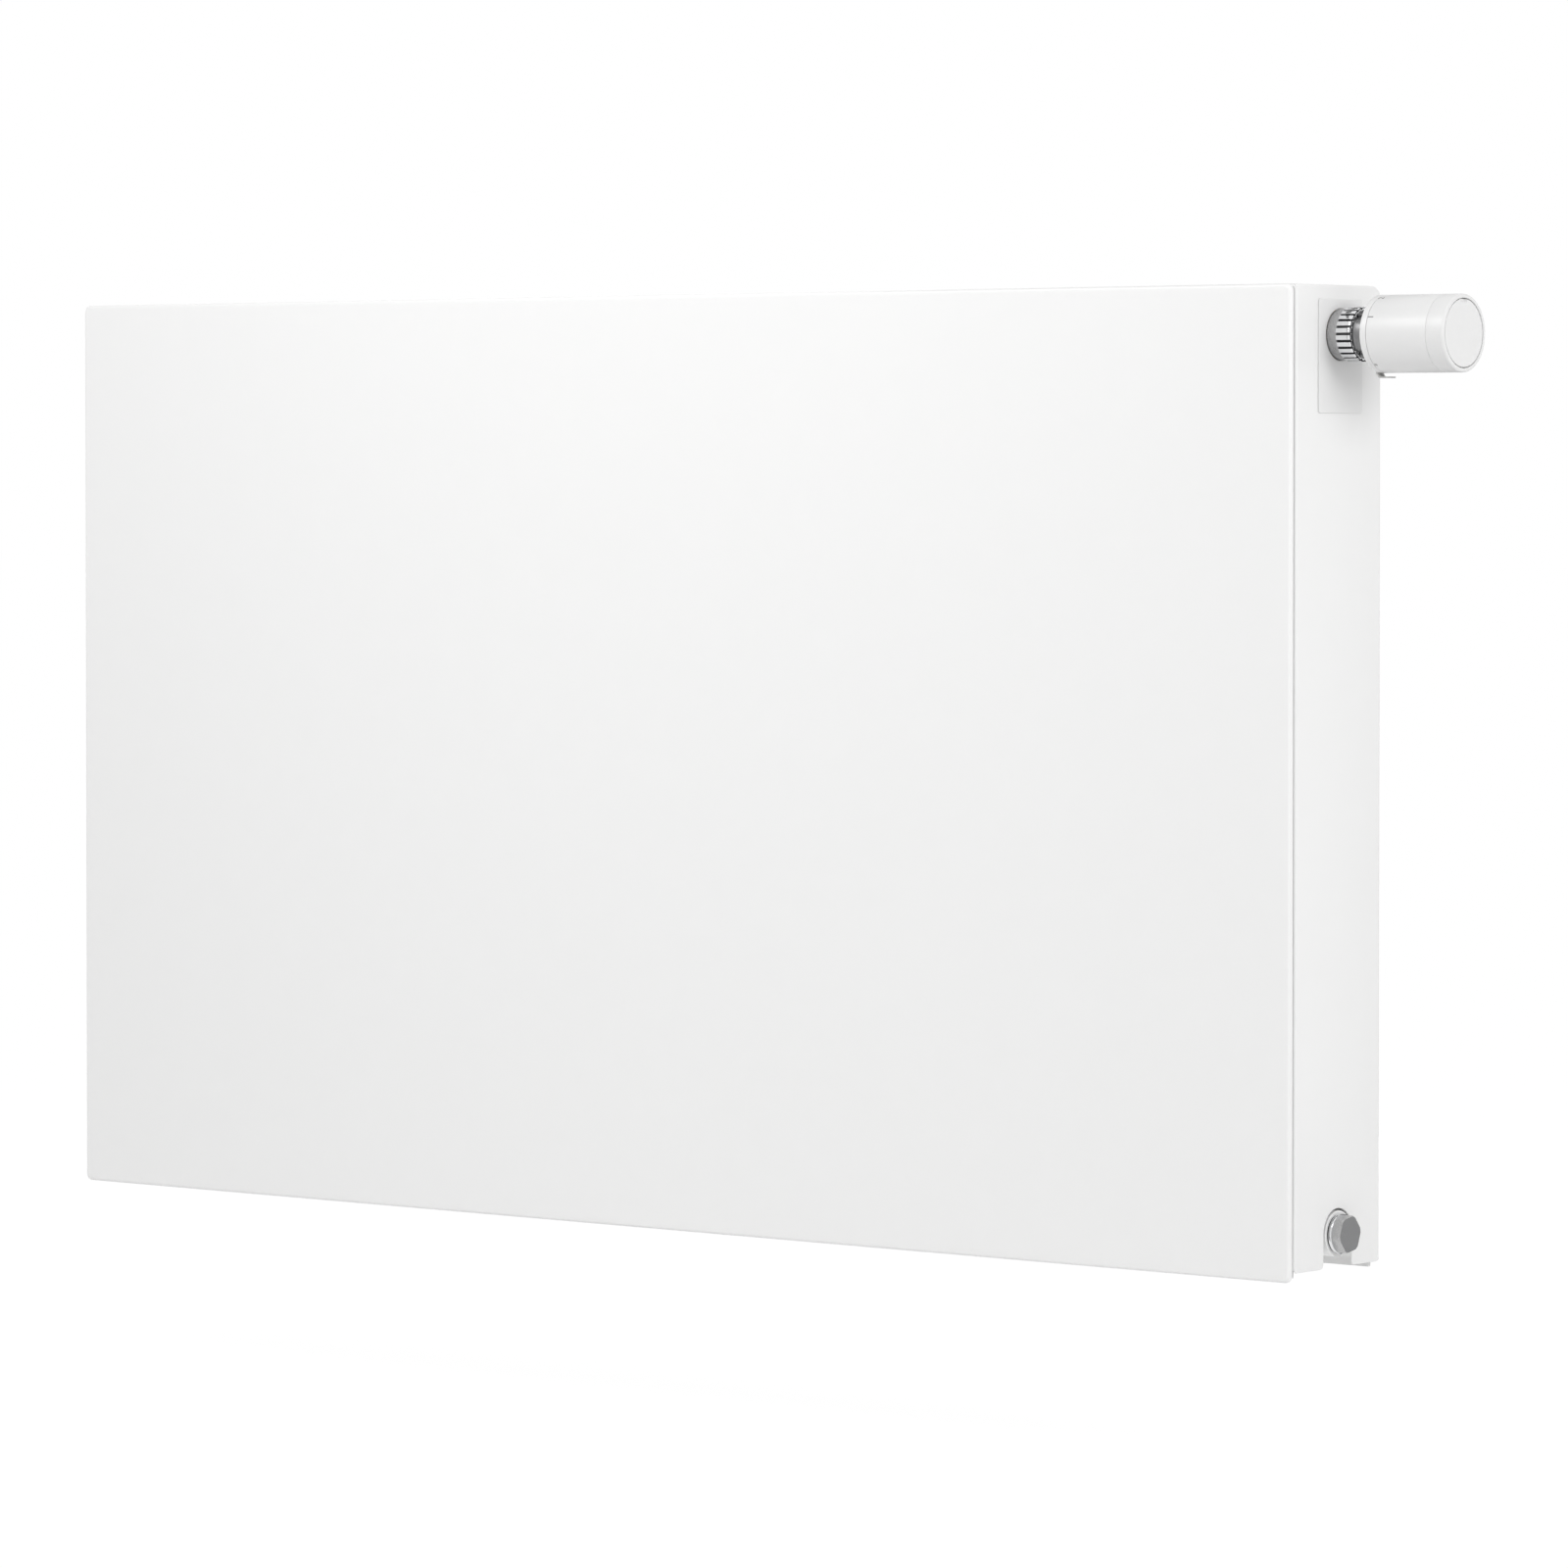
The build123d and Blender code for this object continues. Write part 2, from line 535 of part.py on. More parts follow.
def side_cover_clips():
    """Clips on the panels' side seams that hold the two side covers."""
    clips = []
    start_x = PANEL_HALF - CLIP_GRIP
    tip_x = HALF - COVER_SHEET
    slot_end_x = PANEL_HALF + CLIP_CLEARANCE
    gap = PANEL_SHEET + CLIP_CLEARANCE
    for mid_y in (FRONT_MID_Y, REAR_MID_Y):
        for z in (CLIP_RISE, PLATE_HEIGHT - CLIP_RISE):
            low = z - CLIP_LENGTH / 2
            high = z + CLIP_LENGTH / 2
            clip = block(start_x, tip_x, mid_y - CLIP_HALF_DEPTH, mid_y + CLIP_HALF_DEPTH, low, high)
            tip_edges = clip.edges().filter_by(Axis.Z).group_by(Axis.X)[-1]
            clip = chamfer(tip_edges, COVER_BEND - COVER_SHEET)
            clip -= block(start_x, slot_end_x, mid_y - gap, mid_y + gap, low, high)
            clips += [clip, to_left(clip)]
    return Compound(children=clips)


def escutcheon(hole_radius):
    """A thin plate with two snap legs over the side cover's opening, round the valve or the vent."""
    outline = Pos(AXIS_Y, ESCUTCHEON_MID_Z) * RectangleRounded(
        ESCUTCHEON_WIDTH, ESCUTCHEON_HEIGHT, ESCUTCHEON_CORNER
    )
    outline -= Pos(AXIS_Y, TOP_Z) * Circle(hole_radius)
    plate = extrude(side_plane(HALF) * outline, ESCUTCHEON_SHEET)
    reach = ESCUTCHEON_HEIGHT / 2 - ESCUTCHEON_LAP - LEG_CLEARANCE
    y0 = AXIS_Y - LEG_WIDTH / 2
    y1 = AXIS_Y + LEG_WIDTH / 2
    upper = ESCUTCHEON_MID_Z + reach
    lower = ESCUTCHEON_MID_Z - reach
    plate += block(HALF - LEG_LENGTH, HALF, y0, y1, upper - LEG_SHEET, upper)
    plate += block(HALF - LEG_LENGTH, HALF, y0, y1, lower, lower + LEG_SHEET)
    return plate


def grille_section(inset, front_bend, rear_bend):
    """Outline of the grille seen from its end, drawn in by a sheet thickness."""
    y0 = COVER_FRONT_Y + inset
    y1 = COVER_REAR_Y - inset
    low = GRILLE_SKIRT_Z
    high = PLATE_HEIGHT - inset
    corner = (y1 - rear_bend, high)
    edge = Line((y0, low), (y0, high - front_bend))
    edge += JernArc((y0, high - front_bend), (0, 1), front_bend, -90)
    edge += Line((y0 + front_bend, high), corner)
    edge += JernArc(corner, (1, 0), rear_bend, -90)
    edge += Polyline((y1, high - rear_bend), (y1, low), (y0, low))
    return make_face(edge)


def top_grille():
    """The slotted sheet on top, its long edges bent down in front and rolled over at the back."""
    outer = grille_section(0.0, GRILLE_FRONT_BEND, COVER_TOP_CORNER)
    front_bend = GRILLE_FRONT_BEND - GRILLE_SHEET
    inner = grille_section(GRILLE_SHEET, front_bend, COVER_TOP_CORNER - GRILLE_SHEET)
    sheet = extrude(side_plane(-GRILLE_HALF) * (outer - inner), 2 * GRILLE_HALF)
    count = math.floor((2 * GRILLE_HALF - 2 * SLOT_END_MARGIN) / SLOT_PITCH)
    slot = SlotOverall(SLOT_LENGTH, SLOT_WIDTH, rotation=90)
    slots = Sketch() + GridLocations(SLOT_PITCH, SLOT_LENGTH + SLOT_ROW_GAP, count, 2) * slot
    return sheet - extrude(Pos(0, COVER_MID_Y, PLATE_HEIGHT) * slots, 2 * GRILLE_SHEET, both=True)


def grille_clips():
    """Clips on the panels' top seams, shaped to the underside of the grille that they carry."""
    clips = []
    inset = GRILLE_SHEET + GRILLE_CLIP_SEAT
    under = grille_section(inset, GRILLE_FRONT_BEND - GRILLE_SHEET, COVER_TOP_CORNER - inset)
    gap = PANEL_SHEET + CLIP_CLEARANCE
    for mid_y in (FRONT_MID_Y, REAR_MID_Y):
        y0 = mid_y - CLIP_HALF_DEPTH
        y1 = mid_y + CLIP_HALF_DEPTH
        for step in (-1, 0, 1):
            x0 = step * GRILLE_CLIP_STEP - CLIP_LENGTH / 2
            x1 = x0 + CLIP_LENGTH
            clip = block(x0, x1, y0, y1, GRILLE_SKIRT_Z, PLATE_HEIGHT)
            clip &= extrude(side_plane(x0) * under, CLIP_LENGTH)
            clips.append(clip - block(x0, x1, mid_y - gap, mid_y + gap, GRILLE_SKIRT_Z, PANEL_TOP_Z))
    return Compound(children=clips)


def tee(z, boss_end):
    """A cross tube between the two panels with a threaded boss towards the end of the radiator."""
    body = rod_y(TEE_RADIUS, FRONT_INNER_Y, REAR_INNER_Y, TEE_X, z)
    body += rod_x(BOSS_RADIUS, TEE_X, boss_end, z)
    body -= rod_y(TEE_BORE, FRONT_INNER_Y, REAR_INNER_Y, TEE_X, z)
    return body - rod_x(BOSS_BORE, TEE_X, boss_end, z)


def bottom_right_tee():
    """The lower right tee, with a boss below for the return nipple."""
    drop = rod_z(BOSS_RADIUS, DROP_BOSS_Z, BOTTOM_Z, TEE_X)
    hollow = rod_y(TEE_BORE, FRONT_INNER_Y, REAR_INNER_Y, TEE_X, BOTTOM_Z)
    hollow += rod_x(BOSS_BORE, TEE_X, HALF, BOTTOM_Z)
    hollow += rod_z(SPIGOT_RADIUS + THREAD_CLEARANCE, DROP_BOSS_Z, BOTTOM_Z, TEE_X)
    return tee(BOTTOM_Z, HALF) + drop - hollow


def valve_housing():
    """The upper right tee, with a second boss that the riser pipe enters."""
    inlet = rod_x(INLET_BOSS_RADIUS, INLET_END_X, TEE_X, TOP_Z)
    hollow = rod_y(TEE_BORE, FRONT_INNER_Y, REAR_INNER_Y, TEE_X, TOP_Z)
    hollow += rod_x(BOSS_BORE, TEE_X, VALVE_BOSS_X, TOP_Z)
    hollow += rod_x(NOSE_RADIUS + THREAD_CLEARANCE, INLET_END_X, TEE_X, TOP_Z)
    hollow += rod_x(RISER_RADIUS + THREAD_CLEARANCE, INLET_END_X, RISER_END_X, TOP_Z)
    return tee(TOP_Z, VALVE_BOSS_X) + inlet - hollow


def connection_bracket():
    """The strap under the return boss that holds both pipe nipples."""
    y0 = AXIS_Y - BRACKET_WIDTH / 2
    y1 = AXIS_Y + BRACKET_WIDTH / 2
    x0 = SUPPLY_X - BRACKET_MARGIN
    x1 = TEE_X + BRACKET_MARGIN
    strap = block(x0, x1, y0, y1, NIPPLE_SHOULDER_Z, DROP_BOSS_Z)
    for x in (SUPPLY_X, TEE_X):
        strap -= rod_z(SPIGOT_RADIUS + THREAD_CLEARANCE, NIPPLE_SHOULDER_Z, DROP_BOSS_Z, x)
    return strap


def return_nipple():
    """The outer pipe nipple, its spigot in the lower right tee."""
    top_z = DROP_BOSS_Z + SPIGOT_GRIP
    body = rod_z(NIPPLE_RADIUS, NIPPLE_END_Z, NIPPLE_SHOULDER_Z, TEE_X)
    body += rod_z(SPIGOT_RADIUS, NIPPLE_SHOULDER_Z, top_z, TEE_X)
    return body - rod_z(NIPPLE_BORE, NIPPLE_END_Z, top_z, TEE_X)


def supply_nipple():
    """The inner pipe nipple, with a socket for the riser pipe."""
    top_z = NIPPLE_SHOULDER_Z + SUPPLY_SPIGOT_LENGTH
    body = rod_z(NIPPLE_RADIUS, NIPPLE_END_Z, NIPPLE_SHOULDER_Z, SUPPLY_X)
    body += rod_z(SPIGOT_RADIUS, NIPPLE_SHOULDER_Z, top_z, SUPPLY_X)
    body -= rod_z(NIPPLE_BORE, NIPPLE_END_Z, top_z, SUPPLY_X)
    return body - rod_z(RISER_RADIUS + THREAD_CLEARANCE, RISER_START_Z, top_z, SUPPLY_X)


def riser_pipe():
    """The pipe from the supply nipple up to the valve housing."""
    points = [(SUPPLY_X, AXIS_Y, RISER_START_Z), (SUPPLY_X, AXIS_Y, TOP_Z), (RISER_END_X, AXIS_Y, TOP_Z)]
    path = FilletPolyline(*points, radius=RISER_BEND)
    start = Plane(origin=points[0], z_dir=(0, 0, 1))
    return sweep(start * (Circle(RISER_RADIUS) - Circle(RISER_RADIUS - RISER_WALL)), path=path)


def ring(inner, outer, x0, x1, z):
    """A flat ring on a pipe axis."""
    return rod_x(outer, x0, x1, z) - rod_x(inner, x0, x1, z)


def chamfered_hexagon(x0, x1, z):
    """A plug's hexagon with its outer corners turned off."""
    corner = PLUG_HEX / math.sqrt(3) + PLUG_FACE_LIP
    face = PLUG_HEX / 2 + PLUG_FACE_LIP
    limit = [(x0, 0), (x0, corner), (x1 - PLUG_CHAMFER, corner), (x1, face), (x1, 0)]
    return hexagon_x(PLUG_HEX, x0, x1, z, PLUG_HEX_TURN) & turned(limit, z)


def plug():
    """A blind plug: thread, round flange and hexagon."""
    body = rod_x(THREAD_RADIUS, HALF - PLUG_THREAD_LENGTH, PLUG_SEAT_X, BOTTOM_Z)
    body += rod_x(PLUG_FLANGE_RADIUS, PLUG_SEAT_X, PLUG_HEX_X, BOTTOM_Z)
    return body + chamfered_hexagon(PLUG_HEX_X, PLUG_HEX_X + PLUG_HEX_LENGTH, BOTTOM_Z)


def boss_gasket(boss_end, z):
    """The flat seal between a boss and what is screwed into it."""
    return ring(BOSS_BORE, GASKET_RADIUS, boss_end, boss_end + GASKET_THICKNESS, z)


def valve_insert_body():
    """The brass insert: nose with the valve seat, windows, spring chamber and male thread."""
    thread_x = VALVE_BOSS_X - INSERT_THREAD_LENGTH
    outline = [
        (RISER_END_X + NOSE_GRIP, SEAT_BORE),
        (RISER_END_X + NOSE_GRIP, NOSE_RADIUS),
        (thread_x, NOSE_RADIUS),
        (thread_x, THREAD_RADIUS),
        (INSERT_HEX_X, THREAD_RADIUS),
        (INSERT_HEX_X, INSERT_HEX / 2),
        (MALE_THREAD_X, INSERT_HEX / 2),
        (MALE_THREAD_X, MALE_THREAD_RADIUS),
        (VALVE_END_X, MALE_THREAD_RADIUS),
        (VALVE_END_X, GLAND_RADIUS + THREAD_CLEARANCE),
        (GLAND_X, GLAND_RADIUS + THREAD_CLEARANCE),
        (GLAND_X, CHAMBER_RADIUS),
        (SPRING_X, CHAMBER_RADIUS),
        (SPRING_X, LEDGE_BORE),
        (LEDGE_X, LEDGE_BORE),
        (LEDGE_X, CHAMBER_RADIUS),
        (SEAT_X, CHAMBER_RADIUS),
        (SEAT_X, SEAT_BORE),
    ]
    body = turned(outline, TOP_Z)
    grip = hexagon_x(INSERT_HEX, INSERT_HEX_X, MALE_THREAD_X, TOP_Z)
    body += grip - rod_x(INSERT_HEX / 2, INSERT_HEX_X, MALE_THREAD_X, TOP_Z)
    x0 = SEAT_X + WINDOW_RISE
    half = WINDOW_WIDTH / 2
    for y_half, z_half in ((half, TEE_RADIUS), (TEE_RADIUS, half)):
        window = (AXIS_Y - y_half, AXIS_Y + y_half, TOP_Z - z_half, TOP_Z + z_half)
        body -= block(x0, x0 + WINDOW_LENGTH, *window)
    return body


def gland_nut():
    """The seal nut that the spindle runs through."""
    return ring(SPINDLE_RADIUS + SPINDLE_CLEARANCE, GLAND_RADIUS, GLAND_X, VALVE_END_X, TOP_Z)


def valve_spindle():
    """The spindle with its spring collar and the plate behind the valve disc."""
    plate_x = DISC_X + DISC_THICKNESS
    outline = [
        (plate_x, 0),
        (plate_x, SPINDLE_COLLAR_RADIUS),
        (plate_x + DISC_PLATE_THICKNESS, SPINDLE_COLLAR_RADIUS),
        (plate_x + DISC_PLATE_THICKNESS, SPINDLE_RADIUS),
        (SPINDLE_COLLAR_X, SPINDLE_RADIUS),
        (SPINDLE_COLLAR_X, SPINDLE_COLLAR_RADIUS),
        (SPINDLE_COLLAR_X + SPINDLE_COLLAR_THICKNESS, SPINDLE_COLLAR_RADIUS),
        (SPINDLE_COLLAR_X + SPINDLE_COLLAR_THICKNESS, SPINDLE_RADIUS),
        (SPINDLE_TIP_X, SPINDLE_RADIUS),
        (SPINDLE_TIP_X, 0),
    ]
    return turned(outline, TOP_Z)


def helix_point(radius, pitch, turns):
    """A point of a helix about the z axis, and its direction there."""
    angle = 2 * math.pi * turns
    rise = pitch / (2 * math.pi)
    point = Vector(radius * math.cos(angle), radius * math.sin(angle), pitch * turns)
    return point, Vector(-radius * math.sin(angle), radius * math.cos(angle), rise).normalized()


def arc_pair(start, end):
    """Two tangent arcs that join two helix points along their directions."""
    (p0, t0), (p1, t1) = start, end
    chord = p1 - p0
    both = chord.dot(t0 + t1)
    spread = 2 * (1 - t0.dot(t1))
    reach = (math.sqrt(both * both + spread * chord.dot(chord)) - both) / spread
    a = p0 + t0 * reach
    b = p1 - t1 * reach
    middle = (a + b) * 0.5
    return [TangentArc(p0, middle, tangent=t0), TangentArc(middle, p1, tangent=(b - a).normalized())]


def coil_spring(x0, length, radius, wire, turns):
    """A round wire spring along the upper pipe axis, with its two ends ground flat."""
    pitch = length / turns
    steps = ARCS_PER_TURN * (turns + 1)
    knots = [helix_point(radius, pitch, step / ARCS_PER_TURN - 0.5) for step in range(steps + 1)]
    arcs = []
    for start, end in zip(knots, knots[1:]):
        arcs += arc_pair(start, end)
    path = Wire(arcs)
    start = Plane(origin=knots[0][0], z_dir=knots[0][1])
    tube = sweep(start * Circle(wire), path=path)
    side = 4 * radius
    below = Pos(0, 0, -side / 2) * Box(side, side, side)
    above = Pos(0, 0, length + side / 2) * Box(side, side, side)
    return Pos(x0, AXIS_Y, TOP_Z) * Rot(0, 90, 0) * tube.cut(below, above)


def presetting_dial():
    """The ring that limits the flow, round the spindle's end."""
    x0 = VALVE_END_X + DIAL_GAP
    return ring(LEDGE_BORE, DIAL_RADIUS, x0, x0 + DIAL_THICKNESS, TOP_Z)


def union_nut():
    """The ridged nut that pulls the head onto the valve insert."""
    thread = MALE_THREAD_RADIUS + THREAD_CLEARANCE
    outline = [
        (NUT_X, thread),
        (NUT_X, NUT_COLLAR_RADIUS),
        (NUT_RIDGE_X, NUT_COLLAR_RADIUS),
        (NUT_RIDGE_X, NUT_RIDGE_RADIUS),
        (NUT_END_X - NUT_CHAMFER, NUT_RIDGE_RADIUS),
        (NUT_END_X, NUT_RIDGE_RADIUS - NUT_CHAMFER),
        (NUT_END_X, NECK_RADIUS + NECK_CLEARANCE),
        (BASE_FLANGE_END_X, NECK_RADIUS + NECK_CLEARANCE),
        (BASE_FLANGE_END_X, thread),
    ]
    body = turned(outline, TOP_Z)
    groove = block(
        NUT_RIDGE_X,
        NUT_END_X,
        NUT_RIDGE_RADIUS - NUT_GROOVE_DEPTH,
        NUT_RIDGE_RADIUS + NUT_GROOVE_DEPTH,
        -NUT_GROOVE_WIDTH / 2,
        NUT_GROOVE_WIDTH / 2,
    )
    grooves = []
    for number in range(NUT_RIDGES):
        grooves.append(Pos(0, AXIS_Y, TOP_Z) * Rot(number * 360 / NUT_RIDGES, 0, 0) * groove)
    return body.cut(*grooves)


def neck_collar():
    """The slotted metal collar round the head's neck."""
    x0 = NUT_END_X + CLAW_GAP
    x1 = HEAD_X - CLAW_GAP
    body = ring(NECK_RADIUS + RUNNING_CLEARANCE, CLAW_RADIUS, x0, x1, TOP_Z)
    half = CLAW_SLOT_WIDTH / 2
    slot = block(x0, x1 - CLAW_RING_LENGTH, 0, 2 * CLAW_RADIUS, -half, half)
    for number in range(CLAW_COUNT):
        turn = (number + 0.5) * 360 / CLAW_COUNT
        body -= Pos(0, AXIS_Y, TOP_Z) * Rot(turn, 0, 0) * slot
    return body


def head_base():
    """The fixed plastic base: flange under the nut, neck, disc, journal and guide tube."""
    pocket = DIAL_RADIUS + DIAL_POCKET_CLEARANCE
    journal = SLEEVE_BORE - RUNNING_CLEARANCE
    disc = SLEEVE_BORE - 2 * BASE_DISC_GAP
    outline = [
        (VALVE_END_X, pocket),
        (VALVE_END_X, BASE_FLANGE_RADIUS),
        (BASE_FLANGE_END_X, BASE_FLANGE_RADIUS),
        (BASE_FLANGE_END_X, NECK_RADIUS),
        (HEAD_X, NECK_RADIUS),
        (HEAD_X, disc),
        (BASE_DISC_END_X, disc),
        (BASE_DISC_END_X, BASE_WEB_RADIUS),
        (JOURNAL_X, BASE_WEB_RADIUS),
        (JOURNAL_X, journal),
        (GUIDE_X, journal),
        (GUIDE_X, GUIDE_RADIUS),
        (GUIDE_X + GUIDE_LENGTH, GUIDE_RADIUS),
        (GUIDE_X + GUIDE_LENGTH, GUIDE_BORE),
        (JOURNAL_X, GUIDE_BORE),
        (JOURNAL_X, ROD_BORE),
        (BASE_FLANGE_END_X, ROD_BORE),
        (BASE_FLANGE_END_X, pocket),
    ]
    return turned(outline, TOP_Z)


def index_ring():
    """The fixed ring with the index mark, clipped over the base disc."""
    end_x = HEAD_X + INDEX_RING_LENGTH
    bore = SLEEVE_BORE - BASE_DISC_GAP
    outline = [
        (HEAD_X, bore),
        (HEAD_X, HEAD_RADIUS),
        (end_x, HEAD_RADIUS),
        (end_x, INDEX_LIP_RADIUS),
        (BASE_DISC_END_X, INDEX_LIP_RADIUS),
        (BASE_DISC_END_X, bore),
    ]
    return turned(outline, TOP_Z)


def limit_clip():
    """The thin tab under the head that stands behind the base and reaches along the sleeve."""
    x0 = HEAD_X - LIMIT_CLIP_SHEET
    y0 = AXIS_Y - LIMIT_CLIP_WIDTH / 2
    y1 = AXIS_Y + LIMIT_CLIP_WIDTH / 2
    high = TOP_Z - HEAD_RADIUS - LIMIT_FINGER_CLEARANCE
    low = high - LIMIT_FINGER_SHEET
    foot = block(x0, HEAD_X, y0, y1, low, TOP_Z - HEAD_RADIUS + LIMIT_FOOT_LAP)
    return foot + block(x0, x0 + LIMIT_FINGER_LENGTH, y0, y1, low, high)


def handle_sleeve():
    """The part of the head that the hand turns."""
    return ring(SLEEVE_BORE, HEAD_RADIUS, SLEEVE_X, SLEEVE_END_X, TOP_Z)


def handle_end_ring():
    """The outer end of the handle, with a rounded rim and a wall that carries the cap."""
    outline = [
        (SLEEVE_END_X, END_RING_BORE),
        (SLEEVE_END_X, HEAD_RADIUS),
        (HEAD_END_X, HEAD_RADIUS),
        (HEAD_END_X, END_RIM_RADIUS),
        (CAP_X, END_RIM_RADIUS),
        (CAP_X, END_WALL_BORE),
        (END_WALL_X, END_WALL_BORE),
        (END_WALL_X, END_RING_BORE),
    ]
    body = turned(outline, TOP_Z)
    rim = body.edges().filter_by(GeomType.CIRCLE).group_by(Axis.X)[-1].sort_by(SortBy.RADIUS)[-1]
    return fillet(rim, END_RIM_ROUND)


def end_cap():
    """The disc in the end of the handle, with a notch to lever it out."""
    body = rod_x(CAP_RADIUS, CAP_X, CAP_X + CAP_THICKNESS, TOP_Z)
    half = CAP_NOTCH_WIDTH / 2
    x1 = CAP_X + CAP_THICKNESS
    low = TOP_Z + CAP_RADIUS - CAP_NOTCH_REACH
    return body - block(x1 - CAP_NOTCH_DEPTH, x1, AXIS_Y - half, AXIS_Y + half, low, TOP_Z + HEAD_RADIUS)


def drive_ring():
    """The threaded ring inside the handle that moves the sensor carriage."""
    bore = CARRIAGE_RADIUS + RUNNING_CLEARANCE
    outer = SLEEVE_BORE - RUNNING_CLEARANCE
    return ring(bore, outer, SLEEVE_END_X - DRIVE_RING_LENGTH, SLEEVE_END_X, TOP_Z)


def sensor_carriage():
    """The cup that slides on the base's guide tube and carries the sensor."""
    start_x = CARRIAGE_END_X - CARRIAGE_LENGTH
    outline = [
        (start_x, CARRIAGE_BORE),
        (start_x, CARRIAGE_RADIUS),
        (CARRIAGE_END_X, CARRIAGE_RADIUS),
        (CARRIAGE_END_X, 0),
        (CARRIAGE_FLOOR_X, 0),
        (CARRIAGE_FLOOR_X, CARRIAGE_BORE),
    ]
    return turned(outline, TOP_Z)


def vent_body():
    """The air vent's body: thread, flange, hexagon and a neck with the bleed bore."""
    body = rod_x(THREAD_RADIUS, HALF - PLUG_THREAD_LENGTH, PLUG_SEAT_X, TOP_Z)
    body += rod_x(PLUG_FLANGE_RADIUS, PLUG_SEAT_X, PLUG_HEX_X, TOP_Z)
    body += chamfered_hexagon(PLUG_HEX_X, VENT_NECK_X, TOP_Z)
    body += rod_x(VENT_NECK_RADIUS, VENT_NECK_X, VENT_NECK_END_X, TOP_Z)
    pocket_x = VENT_NECK_END_X - VENT_POCKET
    body -= rod_x(VENT_SCREW_RADIUS + THREAD_CLEARANCE, pocket_x, VENT_NECK_END_X, TOP_Z)
    return body - rod_x(VENT_BLEED_BORE, HALF - PLUG_THREAD_LENGTH, pocket_x, TOP_Z)


def vent_screw():
    """The bleed screw with its square key end."""
    end_x = VENT_NECK_END_X - VENT_SCREW_INSET
    body = rod_x(VENT_SCREW_RADIUS, end_x - VENT_SCREW_LENGTH, end_x, TOP_Z)
    key = Pos(end_x + VENT_KEY_LENGTH / 2, AXIS_Y, TOP_Z) * Box(VENT_KEY_LENGTH, VENT_KEY, VENT_KEY)
    return body + key


def vent_nozzle():
    """The plastic ring round the vent's neck, with a spout that can be turned."""
    x0 = VENT_NECK_X + NOZZLE_GAP
    x1 = x0 + NOZZLE_LENGTH
    mid_x = (x0 + x1) / 2
    spout = Pos(mid_x, AXIS_Y, TOP_Z - SPOUT_REACH / 2) * Cylinder(SPOUT_RADIUS, SPOUT_REACH)
    bleed = Pos(mid_x, AXIS_Y, TOP_Z - SPOUT_REACH / 2) * Cylinder(SPOUT_BORE, SPOUT_REACH)
    body = rod_x(NOZZLE_RADIUS, x0, x1, TOP_Z) + spout
    return body - rod_x(VENT_NECK_RADIUS + RUNNING_CLEARANCE, x0, x1, TOP_Z) - bleed


def hanging_lugs():
    """Four straps on the back, each with a pocket that a wall bracket's hook enters from below."""
    half = LUG_HALF_POCKET + LUG_SHEET
    lugs = []
    for x in (-LUG_X, LUG_X):
        for z in (LUG_BOTTOM_Z, LUG_TOP_Z):
            low = z - LUG_HEIGHT / 2
            high = z + LUG_HEIGHT / 2
            foot_y = REAR_CREST_Y + LUG_SHEET
            lug = block(x - half, x + half, REAR_CREST_Y, WALL_Y, low, high)
            lug += block(x - LUG_HALF_FOOT, x + LUG_HALF_FOOT, REAR_CREST_Y, foot_y, low, high)
            pocket_y = WALL_Y - LUG_SHEET
            lug -= block(x - LUG_HALF_POCKET, x + LUG_HALF_POCKET, REAR_CREST_Y, pocket_y, low, high)
            lugs.append(lug)
    return Compound(children=lugs)


